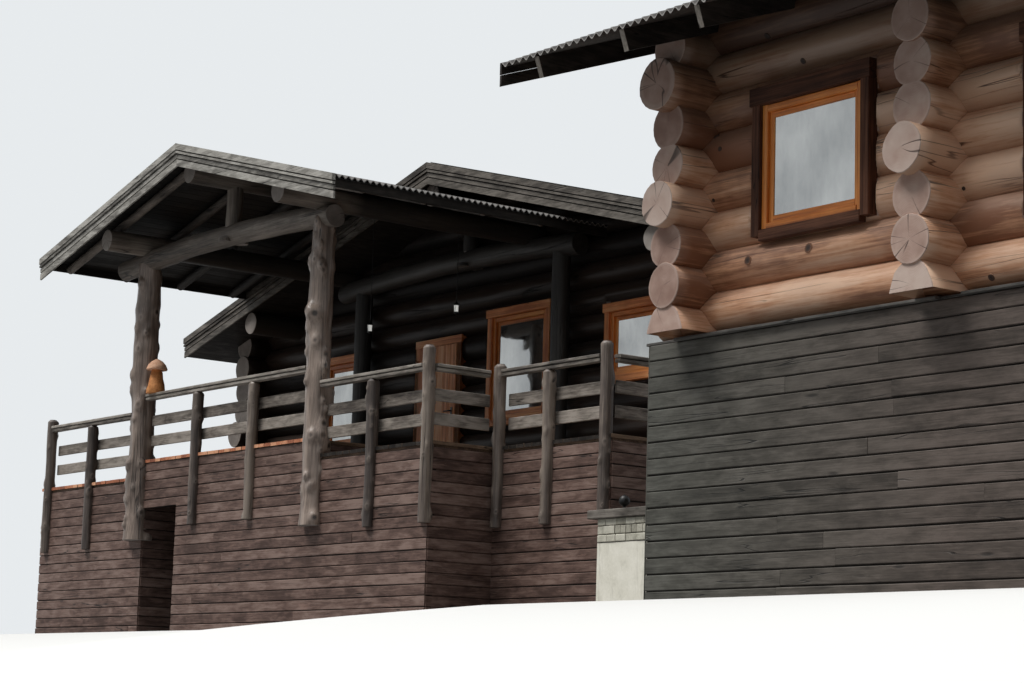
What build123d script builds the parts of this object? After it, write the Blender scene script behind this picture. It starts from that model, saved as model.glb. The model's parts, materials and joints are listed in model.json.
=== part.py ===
from build123d import *

import os
from math import ceil, cos, radians, sin, tan

# Log house on a board-clad basement, with a lower wing beside it whose front wall opens on a
# raised, railed deck under a gabled porch on two knotty log posts. Millimetres.
# Origin: the middle of the building's plan at ground level. X runs to the right along the
# front, Y runs from the front to the back, Z is up.

os.makedirs("parts", exist_ok=True)

# Clearances
fit = 0.3                     # between pieces that bear on each other
door_gap = 8                  # round the door leaf

# Logs
log_radius = 195
log_lap = 47                  # how deep each log is scribed over the log under it
half_step = 145               # logs along X lie this much above the logs along Y
log_reach = 505               # from a wall's centre line to the ends of the logs that cross it
long_ends = {3: 110, 6: 25, 1: 15}  # how much further some courses reach
first_log_flat = 5            # how much is hewn off under the bottom logs

# Boards and floors
board_wall = 90
basement_wall = 200
floor_thickness = 60
drip_thickness = 25
drip_overhang = 60

# Plan of the main house
house_width = 6720
house_depth = 7500
house_side_inset = 560        # from the basement's side to the log wall's centre line
house_front_inset = 165       # from the basement's front to the log wall's centre line
house_forward = 2462          # how far its front stands before the deck's front
house_gap = 4613              # from the deck to the house

# Levels and roof of the main house
house_basement_height = 2250
house_storey = 2470           # from the top of the basement to the top of the eaves
house_eave_overhang = 1100
house_verge_overhang = 830
house_pitch = 20

# Plan of the wing and of the deck in front of it
deck_length = 9800
deck_step_length = 2147       # the part of the deck that stands back
deck_step = 920               # how far it stands back
deck_depth = 3400
wing_depth = 5200
wing_side_inset = 300

# Levels and roof of the wing
deck_level = 2150
wing_rise = 4320              # from the deck to the top of the ridge
wing_pitch = 15
wing_roof_depth = 280
wing_eave_overhang = 497
wing_gable_overhang = 950
wing_purlin_radius = 165
wing_purlin_flat = 12         # how much is hewn off on top, under the roof
wing_purlin_offset = 4640     # from the ridge to the side purlins
wing_purlin_setback = 60      # how far the purlin ends stand behind the gable's edge boards

# Raised platform at the deck's front edge, between the porch posts
platform_rise = 220
platform_landing = 1160       # from the platform to the wing's wall, where the door swings
post_gap = 12                 # from the porch posts to the platform and to the rail boards

# Opening under the deck
passage_from_left = 3055
passage_width = 921
passage_drop = 430            # from the deck's level down to the opening

# Porch roof, parallel to the wing's roof and partly under it
porch_half_span = 3815
porch_forward = 930           # how far its gable stands before the deck
porch_under_wing = 810        # how far its right slope runs on under the wing's eave
porch_over_wing = 470         # how far its left slope runs on over the wing's roof
porch_roof_gap = 112          # between its right slope and the wing's roof
porch_rafter_radius = 65
porch_rafter_flat = 6         # how much is hewn off on top, under the sheet
porch_rafters = 4
porch_rafter_spacing = 893
porch_first_rafter = 465      # from the gable's face to the first pair of rafters
eave_board_depth = 95
eave_board_thickness = 32
eave_board_inset = 30         # how far it stands inside the sheet's edge
purlin_radius = 150
purlin_seat = 50              # how deep the purlins are notched over the tie beams
purlin_setback = 230          # how far the purlin ends stand behind the gable's face

# Roof coverings and edge boards
sheet_thickness = 60
house_sheet_thickness = 45
house_rafter_depth = 190
house_rafter_width = 60
bargeboard_depth = 300
house_bargeboard_depth = 260
bargeboard_strip = 130
bargeboard_thickness = 28

# Porch timber; places along X are from the porch's ridge
post_offsets = (-2220, 2235)
post_radii = (180, 165)
post_drop = 860               # from the deck's level down to the feet of the posts
post_girths = ((0, 1.12), (0.09, 0.98), (0.23, 1.04), (0.47, 0.95), (0.7, 1.0), (1, 0.9))
beam_radius = 150
beam_rise = 110
beam_ends = (700, 230)        # how far the tie beams run past their posts, left and right
wall_beam_ends = (500, 380)
king_post_radius = 110
wall_post_radius = 125
wall_post_gap = 0.5

# Railing
rail_post_radius = 75
rail_post_drop = 930          # from the deck's level down to the feet of the rail posts
rail_height = 910
rail_plank = 44
rail_width = 120
guard_board_height = 145
guard_board_thickness = 28
guard_board_levels = (200, 480)
tall_posts = (90, 200, 60, 130)  # how far the end posts stand above the capping

# Windows: place along the wall as a share of its length, sill above the floor, width, height
casing_width = 95
casing_thickness = 30
frame_width = 110
frame_depth = 110
glass_thickness = 24
glass_inset = 65
house_window_left = (0.502, 810, 1150, 1050)
house_window_right = (0.5375, 560, 1150, 1250)
house_side_window = (0.5, 810, 1150, 1050)
wing_windows = ((0.2252, 750, 900, 1230), (0.5799, 850, 1180, 1390), (0.7903, 1210, 1200, 820))
wing_back_windows = ((0.285, 850, 1180, 1050), (0.712, 850, 1180, 1050))
wing_side_window = (0.54, 850, 1180, 1050)

# Door on the deck
door_place = 0.4277           # its middle, as a share of the wing's length
door_width = 880
door_height = 1975
door_thickness = 55
door_casing_width = 100
door_frame_depth = 180
hinge_radius = 11
hinge_length = 90
hinge_levels = (300, 1720)
handle_level = 1000
handle_inset = 70

# Low block wall between the deck and the house
block_wall_forward = 170      # how far it stands before the deck's right part
block_wall_thickness = 250
block_wall_height = 1210
cap_thickness = 95
cap_overhang = 50
cap_lap = 130                 # how far the cap runs on in front of the deck

# Derived places: the plan's middle is the origin
wing_length = deck_length + deck_step_length
whole_length = (wing_eave_overhang + wing_length + house_gap + house_width
                + house_verge_overhang)
whole_depth = (house_eave_overhang + house_forward + deck_depth + wing_depth
               + wing_gable_overhang)
wing_left = wing_eave_overhang - whole_length / 2
deck_corner_x = wing_left + deck_length
wing_right = wing_left + wing_length
house_left = wing_right + house_gap
house_right = house_left + house_width
house_front = house_eave_overhang - whole_depth / 2
house_back = house_front + house_depth
deck_front = house_front + house_forward
step_front = deck_front + deck_step
wing_front_outer = deck_front + deck_depth
wing_back = wing_front_outer + wing_depth
door_centre_x = wing_left + door_place * wing_length
post_x = [door_centre_x + offset for offset in post_offsets]
bay_left = post_x[0] + post_radii[0] + post_gap
bay_right = post_x[1] - post_radii[1] - post_gap
log_course = 2 * log_radius - log_lap


def block(low, high, mode=Mode.ADD):
    """A squared piece between two corners."""
    sizes = [b - a for a, b in zip(low, high)]
    with Locations(tuple(low)):
        Box(*sizes, align=(Align.MIN, Align.MIN, Align.MIN), mode=mode)


def across_x(points, start, length, mode=Mode.ADD):
    """A profile of (y, z) points, run along X."""
    with BuildSketch(Plane.YZ.offset(start)) as profile:
        Polygon(*points, align=None)
    extrude(profile.sketch, amount=length, mode=mode)


def across_y(points, start, length, mode=Mode.ADD):
    """A profile of (x, z) points, run along Y."""
    with BuildSketch(Plane.XZ.offset(-start)) as profile:
        Polygon(*points, align=None)
    extrude(profile.sketch, amount=-length, mode=mode)


def save(piece, name):
    piece.part.label = name
    export_step(piece.part, f"parts/{name}.step")


# Roof planes

def gable_height(position, ridge, top, pitch):
    """Height of a gabled roof's upper face at a place beside its ridge."""
    return top - abs(position - ridge) * tan(radians(pitch))


def gable_band(ridge, half_span, top, pitch, depth, side):
    """Profile of one slope, from the ridge to the eave; side is -1 or 1."""
    eave = ridge + side * half_span
    near = ridge + side * fit / 2
    outer = gable_height(eave, ridge, top, pitch)
    inner = gable_height(near, ridge, top, pitch)
    return [(near, inner), (eave, outer), (eave, outer - depth), (near, inner - depth)]


def gable_space(ridge, half_span, top, pitch, headroom=3000):
    """Profile of everything above a gabled roof face, to trim walls with."""
    fall = half_span * tan(radians(pitch))
    return [
        (ridge - half_span, top - fall),
        (ridge, top),
        (ridge + half_span, top - fall),
        (ridge + half_span, top + headroom),
        (ridge - half_span, top + headroom),
    ]


# Log walls

def log_plane(direction, line, start, level):
    """The end plane of a log along X or Y, with its local Y axis upwards."""
    if direction == "x":
        return Plane(origin=(start, line, level), x_dir=(0, 1, 0), z_dir=(1, 0, 0))
    return Plane(origin=(line, start, level), x_dir=(-1, 0, 0), z_dir=(0, 1, 0))


def lay_logs(direction, line, ends, first_level, courses, crossings, stop_reach=(1, 1)):
    """Stacks a wall's logs from the top down. Each log is scribed over the log under it, and
    saddle-notched over the crossing logs that it rests on."""
    other = "y" if direction == "x" else "x"
    drop = half_step if direction == "x" else log_course - half_step
    for course in reversed(courses):
        level = first_level + course * log_course
        extra = long_ends.get(course, 0)
        start = ends[0] - stop_reach[0] * (log_reach + extra)
        finish = ends[1] + stop_reach[1] * (log_reach + extra)
        with BuildSketch(log_plane(direction, line, start, level)) as section:
            Circle(log_radius)
            with Locations((0, -log_course)):
                Circle(log_radius + fit, mode=Mode.SUBTRACT)
        extrude(section.sketch, amount=finish - start)
        rests_on_crossing = direction == "x" or course > 0
        if rests_on_crossing:
            for crossing in crossings:
                notch_start = line - log_radius - 20
                with BuildSketch(log_plane(other, crossing, notch_start, level - drop)) as notch:
                    Circle(log_radius + fit)
                extrude(notch.sketch, amount=2 * (log_radius + 20), mode=Mode.SUBTRACT)


def rows_up_to(level, first_level):
    """How many courses a wall takes to pass a level."""
    return ceil((level + log_radius - first_level) / log_course)


def cut_window(direction, line, window):
    """Cuts a window's opening through a log wall."""
    centre, sill, width, height = window
    reach = log_radius + 60
    low = [centre - width / 2, line - reach, sill]
    high = [centre + width / 2, line + reach, sill + height]
    if direction == "y":
        low[0], low[1] = low[1], low[0]
        high[0], high[1] = high[1], high[0]
    block(low, high, mode=Mode.SUBTRACT)


# Derived places of the main house

house_x_lines = (house_front + house_front_inset, house_back - house_front_inset)
house_cross_x = (house_left + house_right) / 2
house_y_lines = (house_left + house_side_inset, house_cross_x, house_right - house_side_inset)
house_sill = house_basement_height + drip_thickness
house_first_x = house_sill + log_radius - first_log_flat
house_first_y = house_first_x - half_step
house_ridge_y = (house_front + house_back) / 2
house_half_depth = (house_back - house_front) / 2 + house_eave_overhang
house_eave_top = house_basement_height + house_storey
house_ridge_top = house_eave_top + house_half_depth * tan(radians(house_pitch))
house_deck_under = house_ridge_top - house_sheet_thickness
house_verge_left = house_left - house_verge_overhang
house_verge_right = house_right + house_verge_overhang
house_wall_top = gable_height(house_x_lines[0], house_ridge_y, house_deck_under, house_pitch)
house_x_rows = rows_up_to(house_wall_top, house_first_x)
house_gable_rows = rows_up_to(house_deck_under, house_first_y)

house_bay = house_width / 2 - house_side_inset
house_rafter_offsets = (
    house_bay * 0.195,
    house_bay * 0.582,
    house_bay - log_radius - house_rafter_width / 2 - 15,
    house_width / 2 + house_verge_overhang * 0.41,
)
house_rafter_centres = [
    house_cross_x + side * offset for offset in house_rafter_offsets for side in (-1, 1)
]


def place_window(window, start, length, floor_level):
    """Turns a window's share and height above the floor into places in the part's frame."""
    share, sill, width, height = window
    return start + share * length, floor_level + sill, width, height


house_side_length = house_x_lines[1] - house_x_lines[0]
front_windows = [
    place_window(house_window_left, house_y_lines[0], house_bay, house_basement_height),
    place_window(house_window_right, house_y_lines[1], house_bay, house_basement_height),
]
back_windows = [
    place_window(house_window_left, start, house_bay, house_basement_height)
    for start in house_y_lines[:2]
]
side_window = place_window(house_side_window, house_x_lines[0], house_side_length,
                           house_basement_height)


def house_rafter_cuts():
    """Seats for the rafters in the tops of the front and back walls."""
    for centre in house_rafter_centres:
        for side in (-1, 1):
            band = gable_band(house_ridge_y, house_half_depth, house_deck_under + fit,
                              house_pitch, house_rafter_depth + 2 * fit, side)
            across_x(band, centre - house_rafter_width / 2 - fit,
                     house_rafter_width + 2 * fit, mode=Mode.SUBTRACT)


def trim_to_house_roof():
    """Bevels log walls to the underside of the roof boarding."""
    space = gable_space(house_ridge_y, house_half_depth + 500, house_deck_under - fit,
                        house_pitch)
    across_x(space, house_verge_left - 500, house_verge_right - house_verge_left + 1000,
             mode=Mode.SUBTRACT)


def trim_below(level, low, high):
    """Cuts the bottom logs flat where they lie on a sill or floor."""
    block((low[0], low[1], level - log_radius * 2), (high[0], high[1], level + fit),
          mode=Mode.SUBTRACT)


house_plan_low = (house_left - 500, house_front - 1000)
house_plan_high = (house_right + 500, house_back + 1000)

# House basement: four board-clad walls

with BuildPart() as house_basement_front:
    block((house_left, house_front, 0),
          (house_right, house_front + basement_wall, house_basement_height))
save(house_basement_front, "house_basement_front")

with BuildPart() as house_basement_back:
    block((house_left, house_back - basement_wall, 0),
          (house_right, house_back, house_basement_height))
save(house_basement_back, "house_basement_back")

side_wall_front = house_front + basement_wall + fit
side_wall_back = house_back - basement_wall - fit

with BuildPart() as house_basement_left:
    block((house_left, side_wall_front, 0),
          (house_left + basement_wall, side_wall_back, house_basement_height))
save(house_basement_left, "house_basement_left")

with BuildPart() as house_basement_right:
    block((house_right - basement_wall, side_wall_front, 0),
          (house_right, side_wall_back, house_basement_height))
save(house_basement_right, "house_basement_right")

# Drip boards on top of the basement, under the bottom logs

with BuildPart() as house_drip_boards:
    drip_width = house_front_inset + log_radius + drip_overhang
    side_drip_width = house_side_inset + log_radius + drip_overhang
    drip_low = house_basement_height + fit
    drip_high = house_sill
    block((house_left - drip_overhang, house_front - drip_overhang, drip_low),
          (house_right + drip_overhang, house_front - drip_overhang + drip_width, drip_high))
    block((house_left - drip_overhang, house_back + drip_overhang - drip_width, drip_low),
          (house_right + drip_overhang, house_back + drip_overhang, drip_high))
    side_drip_front = house_front - drip_overhang + drip_width + 1
    side_drip_back = house_back + drip_overhang - drip_width - 1
    block((house_left - drip_overhang, side_drip_front, drip_low),
          (house_left - drip_overhang + side_drip_width, side_drip_back, drip_high))
    block((house_right + drip_overhang - side_drip_width, side_drip_front, drip_low),
          (house_right + drip_overhang, side_drip_back, drip_high))
save(house_drip_boards, "house_drip_boards")

# House floor, inside the basement walls

with BuildPart() as house_floor:
    block((house_left + basement_wall + fit, house_front + basement_wall + fit,
           house_basement_height - floor_thickness),
          (house_right - basement_wall - fit, house_back - basement_wall - fit,
           house_basement_height))
save(house_floor, "house_floor")

# House log walls

with BuildPart() as house_front_logs:
    lay_logs("x", house_x_lines[0], (house_y_lines[0], house_y_lines[2]), house_first_x,
             range(house_x_rows), house_y_lines)
    trim_below(house_sill, house_plan_low, house_plan_high)
    trim_to_house_roof()
    house_rafter_cuts()
    for window in front_windows:
        cut_window("x", house_x_lines[0], window)
save(house_front_logs, "house_front_logs")

with BuildPart() as house_back_logs:
    lay_logs("x", house_x_lines[1], (house_y_lines[0], house_y_lines[2]), house_first_x,
             range(house_x_rows), house_y_lines)
    trim_below(house_sill, house_plan_low, house_plan_high)
    trim_to_house_roof()
    house_rafter_cuts()
    for window in back_windows:
        cut_window("x", house_x_lines[1], window)
save(house_back_logs, "house_back_logs")


def house_side_wall(line, courses):
    lay_logs("y", line, house_x_lines, house_first_y, courses, house_x_lines)
    trim_below(house_sill, house_plan_low, house_plan_high)
    trim_to_house_roof()


with BuildPart() as house_left_logs:
    house_side_wall(house_y_lines[0], range(house_gable_rows))
    cut_window("y", house_y_lines[0], side_window)
save(house_left_logs, "house_left_logs")

with BuildPart() as house_cross_logs:
    house_side_wall(house_y_lines[1], range(house_gable_rows))
save(house_cross_logs, "house_cross_logs")

with BuildPart() as house_right_logs:
    house_side_wall(house_y_lines[2], range(house_gable_rows))
    cut_window("y", house_y_lines[2], side_window)
save(house_right_logs, "house_right_logs")

# House roof: two boarded slopes under sheet, rafters and edge boards

sheet_left = house_verge_left + bargeboard_thickness + fit
sheet_length = house_verge_right - house_verge_left - 2 * (bargeboard_thickness + fit)

for name, side in (("house_roof_front", -1), ("house_roof_back", 1)):
    with BuildPart() as slope:
        across_x(gable_band(house_ridge_y, house_half_depth, house_ridge_top, house_pitch,
                            house_sheet_thickness, side), sheet_left, sheet_length)
    save(slope, name)

for name, side in (("house_rafters_front", -1), ("house_rafters_back", 1)):
    with BuildPart() as rafters:
        for centre in house_rafter_centres:
            across_x(gable_band(house_ridge_y, house_half_depth - 30,
                                house_deck_under - fit, house_pitch,
                                house_rafter_depth, side),
                     centre - house_rafter_width / 2, house_rafter_width)
    save(rafters, name)

with BuildPart() as house_bargeboards:
    for side in (-1, 1):
        board = gable_band(house_ridge_y, house_half_depth, house_ridge_top, house_pitch,
                           house_bargeboard_depth, side)
        across_x(board, house_verge_left, bargeboard_thickness)
        across_x(board, house_verge_right - bargeboard_thickness, bargeboard_thickness)
save(house_bargeboards, "house_bargeboards")

# Wing basement and the walls under the deck

wing_base = deck_level - floor_thickness - fit
passage_left = wing_left + passage_from_left
passage_right = passage_left + passage_width
passage_height = deck_level - passage_drop

with BuildPart() as basement_left:
    block((wing_left, deck_front + board_wall + fit, 0),
          (wing_left + board_wall, wing_back, wing_base))
save(basement_left, "basement_left")

with BuildPart() as basement_right:
    block((wing_right - board_wall, step_front + board_wall + fit, 0),
          (wing_right, wing_back, wing_base))
save(basement_right, "basement_right")

with BuildPart() as wing_basement_front:
    block((wing_left + board_wall + fit, wing_front_outer, 0),
          (wing_right - board_wall - fit, wing_front_outer + basement_wall, wing_base))
save(wing_basement_front, "wing_basement_front")

with BuildPart() as wing_basement_back:
    block((wing_left + board_wall + fit, wing_back - basement_wall, 0),
          (wing_right - board_wall - fit, wing_back, wing_base))
save(wing_basement_back, "wing_basement_back")

with BuildPart() as deck_wall_left:
    block((wing_left, deck_front, 0), (passage_left, deck_front + board_wall, wing_base))
save(deck_wall_left, "deck_wall_left")

with BuildPart() as deck_wall_right:
    block((passage_right, deck_front, 0), (deck_corner_x, deck_front + board_wall, wing_base))
save(deck_wall_right, "deck_wall_right")

with BuildPart() as deck_wall_over_passage:
    block((passage_left + fit, deck_front, passage_height),
          (passage_right - fit, deck_front + board_wall, wing_base))
save(deck_wall_over_passage, "deck_wall_over_passage")

with BuildPart() as passage_wall:
    block((passage_left - board_wall, deck_front + board_wall + fit, 0),
          (passage_left, wing_front_outer - fit, wing_base))
save(passage_wall, "passage_wall")

with BuildPart() as deck_return:
    block((deck_corner_x - board_wall, deck_front + board_wall + fit, 0),
          (deck_corner_x, step_front - fit, wing_base))
save(deck_return, "deck_return")

with BuildPart() as deck_wall_step:
    block((deck_corner_x - board_wall, step_front, 0),
          (wing_right, step_front + board_wall, wing_base))
save(deck_wall_step, "deck_wall_step")

# Deck floor and wing floor

with BuildPart() as deck_floor:
    with BuildSketch(Plane.XY.offset(deck_level - floor_thickness)):
        Polygon((wing_left, deck_front), (deck_corner_x, deck_front),
                (deck_corner_x, step_front), (wing_right, step_front),
                (wing_right, wing_front_outer - fit), (wing_left, wing_front_outer - fit),
                align=None)
    extrude(amount=floor_thickness)
    block((bay_left, deck_front, deck_level),
          (bay_right, wing_front_outer - platform_landing, deck_level + platform_rise))
save(deck_floor, "deck_floor")

with BuildPart() as wing_floor:
    block((wing_left, wing_front_outer, deck_level - floor_thickness),
          (wing_right, wing_back, deck_level))
save(wing_floor, "wing_floor")

# Wing log walls

wing_x_lines = (wing_front_outer + log_radius, wing_back - log_radius)
wing_y_lines = (wing_left + wing_side_inset, wing_right - wing_side_inset)
wing_first_x = deck_level + log_radius - first_log_flat
wing_first_y = wing_first_x - half_step
wing_ridge_x = (wing_left + wing_right) / 2
wing_half_span = wing_length / 2 + wing_eave_overhang
wing_ridge_top = deck_level + wing_rise
wing_under = wing_ridge_top - wing_roof_depth
wing_gable_front = wing_front_outer - wing_gable_overhang
wing_gable_back = wing_back + wing_gable_overhang
wing_side_top = gable_height(wing_y_lines[0], wing_ridge_x, wing_under, wing_pitch)
wing_side_rows = rows_up_to(wing_side_top, wing_first_y)
wing_all_rows = rows_up_to(wing_under, wing_first_x)
door_top = deck_level + door_gap + door_height
wing_low_rows = rows_up_to(door_top + 2 * door_gap - log_radius * 2, wing_first_x) + 1
wing_plan_low = (wing_left - 500, wing_front_outer - 1000)
wing_plan_high = (wing_right + 500, wing_back + 1000)
door_left = door_centre_x - door_width / 2 - door_casing_width / 2
door_right = door_centre_x + door_width / 2 + door_casing_width / 2
front_wing_windows = [
    place_window(window, wing_left, wing_length, deck_level) for window in wing_windows
]
back_wing_windows = [
    place_window(window, wing_left, wing_length, deck_level) for window in wing_back_windows
]
left_wing_window = place_window(wing_side_window, wing_front_outer, wing_depth, deck_level)


wing_purlin_x = (wing_ridge_x - wing_purlin_offset, wing_ridge_x,
                 wing_ridge_x + wing_purlin_offset)
wing_purlin_drop = (wing_purlin_radius - wing_purlin_flat) / cos(radians(wing_pitch))


def lay_wing_purlins(radius, start, length, mode=Mode.ADD):
    """Three logs under the wing's roof, or with SUBTRACT the holes they lie in."""
    for x in wing_purlin_x:
        level = gable_height(x, wing_ridge_x, wing_under - fit, wing_pitch) - wing_purlin_drop
        with BuildSketch(Plane.XZ.offset(-start)) as section:
            with Locations((x, level)):
                Circle(radius)
        extrude(section.sketch, amount=-length, mode=mode)


def seat_wing_purlins(line):
    """Cuts a gable wall's logs for the purlins."""
    reach = log_radius + 60
    lay_wing_purlins(wing_purlin_radius + fit, line - reach, 2 * reach, mode=Mode.SUBTRACT)


def trim_to_wing_roof():
    """Bevels log walls to the underside of the wing's roof."""
    space = gable_space(wing_ridge_x, wing_half_span + 500, wing_under - fit, wing_pitch)
    across_y(space, wing_front_outer - 1200, wing_back - wing_front_outer + 2400,
             mode=Mode.SUBTRACT)


with BuildPart() as wing_front_logs_left:
    lay_logs("x", wing_x_lines[0], (wing_y_lines[0], door_left), wing_first_x,
             range(wing_low_rows), wing_y_lines[:1], stop_reach=(1, 0))
    trim_below(deck_level, wing_plan_low, wing_plan_high)
    cut_window("x", wing_x_lines[0], front_wing_windows[0])
save(wing_front_logs_left, "wing_front_logs_left")

with BuildPart() as wing_front_logs_right:
    lay_logs("x", wing_x_lines[0], (door_right, wing_y_lines[1]), wing_first_x,
             range(wing_low_rows), wing_y_lines[1:], stop_reach=(0, 1))
    trim_below(deck_level, wing_plan_low, wing_plan_high)
    for window in front_wing_windows[1:]:
        cut_window("x", wing_x_lines[0], window)
save(wing_front_logs_right, "wing_front_logs_right")

with BuildPart() as wing_front_logs_over_door:
    lay_logs("x", wing_x_lines[0], wing_y_lines, wing_first_x,
             range(wing_low_rows, wing_all_rows), wing_y_lines)
    trim_to_wing_roof()
    seat_wing_purlins(wing_x_lines[0])
    for window in front_wing_windows:
        cut_window("x", wing_x_lines[0], window)
save(wing_front_logs_over_door, "wing_front_logs_over_door")

with BuildPart() as wing_back_logs:
    lay_logs("x", wing_x_lines[1], wing_y_lines, wing_first_x, range(wing_all_rows),
             wing_y_lines)
    trim_below(deck_level, wing_plan_low, wing_plan_high)
    trim_to_wing_roof()
    seat_wing_purlins(wing_x_lines[1])
    for window in back_wing_windows:
        cut_window("x", wing_x_lines[1], window)
save(wing_back_logs, "wing_back_logs")

with BuildPart() as wing_left_logs:
    lay_logs("y", wing_y_lines[0], wing_x_lines, wing_first_y, range(wing_side_rows),
             wing_x_lines)
    trim_below(deck_level, wing_plan_low, wing_plan_high)
    trim_to_wing_roof()
    cut_window("y", wing_y_lines[0], left_wing_window)
save(wing_left_logs, "wing_left_logs")

with BuildPart() as wing_right_logs:
    lay_logs("y", wing_y_lines[1], wing_x_lines, wing_first_y, range(wing_side_rows),
             wing_x_lines)
    trim_below(deck_level, wing_plan_low, wing_plan_high)
    trim_to_wing_roof()
save(wing_right_logs, "wing_right_logs")

# Wing roof

purlin_front = wing_gable_front + 2 * bargeboard_thickness + wing_purlin_setback
purlin_back = wing_gable_back - 2 * bargeboard_thickness - wing_purlin_setback

with BuildPart() as wing_purlins:
    lay_wing_purlins(wing_purlin_radius, purlin_front, purlin_back - purlin_front)
    across_y(gable_space(wing_ridge_x, wing_half_span, wing_under - fit, wing_pitch),
             purlin_front - 1, purlin_back - purlin_front + 2, mode=Mode.SUBTRACT)
save(wing_purlins, "wing_purlins")

wing_sheet_front = wing_gable_front + 2 * bargeboard_thickness + fit
wing_sheet_length = wing_gable_back - wing_gable_front - 4 * bargeboard_thickness - 2 * fit

for name, side in (("wing_roof_left", -1), ("wing_roof_right", 1)):
    with BuildPart() as slope:
        across_y(gable_band(wing_ridge_x, wing_half_span, wing_ridge_top, wing_pitch,
                            wing_roof_depth, side), wing_sheet_front, wing_sheet_length)
    save(slope, name)


def layered_bargeboards(ridge, half_span, top, pitch, face, outward):
    """Two layers of edge board on each slope: a deep one, and a shallower strip outside it."""
    inner = face - outward * bargeboard_thickness
    for side in (-1, 1):
        deep = gable_band(ridge, half_span, top, pitch, bargeboard_depth, side)
        strip = gable_band(ridge, half_span, top, pitch, bargeboard_strip, side)
        across_y(deep, min(inner, inner - outward * bargeboard_thickness),
                 bargeboard_thickness)
        across_y(strip, min(face, inner), bargeboard_thickness)


with BuildPart() as wing_bargeboards:
    layered_bargeboards(wing_ridge_x, wing_half_span, wing_ridge_top, wing_pitch,
                        wing_gable_front, -1)
    layered_bargeboards(wing_ridge_x, wing_half_span, wing_ridge_top, wing_pitch,
                        wing_gable_back, 1)
save(wing_bargeboards, "wing_bargeboards")

# Porch roof: two slopes, the right one running on under the wing's eave

porch_ridge_x = door_centre_x
porch_ridge_top = (wing_under + (wing_ridge_x - porch_ridge_x) * tan(radians(wing_pitch))
                   - porch_roof_gap)
porch_gable_front = deck_front - porch_forward
porch_back = wing_gable_front + porch_under_wing
porch_sheet_front = porch_gable_front + 2 * bargeboard_thickness + fit
porch_clear_of_wing = wing_gable_front - fit
porch_under = porch_ridge_top - sheet_thickness
slope_cos = cos(radians(wing_pitch))
slope_sin = sin(radians(wing_pitch))
rafter_axis_top = porch_under - fit - (porch_rafter_radius - porch_rafter_flat) / slope_cos
rafter_underside = rafter_axis_top - porch_rafter_radius / slope_cos

for name, side in (("porch_roof_left", -1), ("porch_roof_right", 1)):
    back = wing_gable_front + porch_over_wing if side < 0 else porch_back
    with BuildPart() as slope:
        across_y(gable_band(porch_ridge_x, porch_half_span, porch_ridge_top, wing_pitch,
                            sheet_thickness, side), porch_sheet_front,
                 back - porch_sheet_front)
        if side > 0:
            block((porch_ridge_x - 10, porch_clear_of_wing, porch_under - 2000),
                  (wing_ridge_x + wing_purlin_radius + 20, porch_back + 10,
                   porch_ridge_top + 10),
                  mode=Mode.SUBTRACT)
    save(slope, name)

eave_board_outer = porch_half_span - eave_board_inset
eave_board_inner = eave_board_outer - eave_board_thickness
rafter_start = porch_rafter_radius * slope_sin
rafter_run = (eave_board_inner - fit - porch_rafter_radius * slope_sin) / slope_cos

with BuildPart() as rafters:
    for side in (-1, 1):
        for number in range(porch_rafters):
            y = porch_gable_front + porch_first_rafter + number * porch_rafter_spacing
            origin = (porch_ridge_x - side * rafter_start * slope_cos, y,
                      rafter_axis_top + rafter_start * slope_sin)
            with BuildSketch(Plane(origin=origin, z_dir=(side * slope_cos, 0, -slope_sin))):
                Circle(porch_rafter_radius)
            extrude(amount=rafter_start + rafter_run)
    across_y(gable_space(porch_ridge_x, porch_half_span, porch_under - fit, wing_pitch),
             porch_gable_front, porch_back - porch_gable_front, mode=Mode.SUBTRACT)
    block((porch_ridge_x - fit / 2, porch_gable_front, rafter_underside - 100),
          (porch_ridge_x + fit / 2, porch_back, porch_ridge_top), mode=Mode.SUBTRACT)
save(rafters, "porch_rafters")

with BuildPart() as porch_eave_boards:
    for side, back in ((-1, porch_clear_of_wing), (1, porch_back)):
        outer = porch_ridge_x + side * eave_board_outer
        inner = porch_ridge_x + side * eave_board_inner
        outer_top = gable_height(outer, porch_ridge_x, porch_under - fit, wing_pitch)
        inner_top = gable_height(inner, porch_ridge_x, porch_under - fit, wing_pitch)
        bottom = outer_top - eave_board_depth
        across_y([(inner, inner_top), (outer, outer_top), (outer, bottom), (inner, bottom)],
                 porch_sheet_front, back - porch_sheet_front)
save(porch_eave_boards, "porch_eave_boards")

with BuildPart() as porch_bargeboards:
    layered_bargeboards(porch_ridge_x, porch_half_span, porch_ridge_top, wing_pitch,
                        porch_gable_front, -1)
save(porch_bargeboards, "porch_bargeboards")

# Purlins, tie beams and posts of the porch

purlin_drop = (purlin_radius + fit) / slope_cos
purlin_end = porch_gable_front + purlin_setback


def purlin_level(x):
    return gable_height(x, porch_ridge_x, rafter_underside, wing_pitch) - purlin_drop


def tie_beam_path(front, posts, ends):
    """A naturally bowed log that rises a little between its posts."""
    left = posts[0] - ends[0]
    right = posts[1] + ends[1]
    return (left, front, beam_level), ((left + right) / 2, front, beam_level + beam_rise), (
        right, front, beam_level)


def bowed_log(points, radius, mode=Mode.ADD):
    with BuildLine() as path:
        arc = ThreePointArc(*points)
    with BuildSketch(Plane(origin=arc @ 0, z_dir=arc % 0)) as section:
        Circle(radius)
    sweep(section.sketch, path=path.line, mode=mode)


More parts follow.
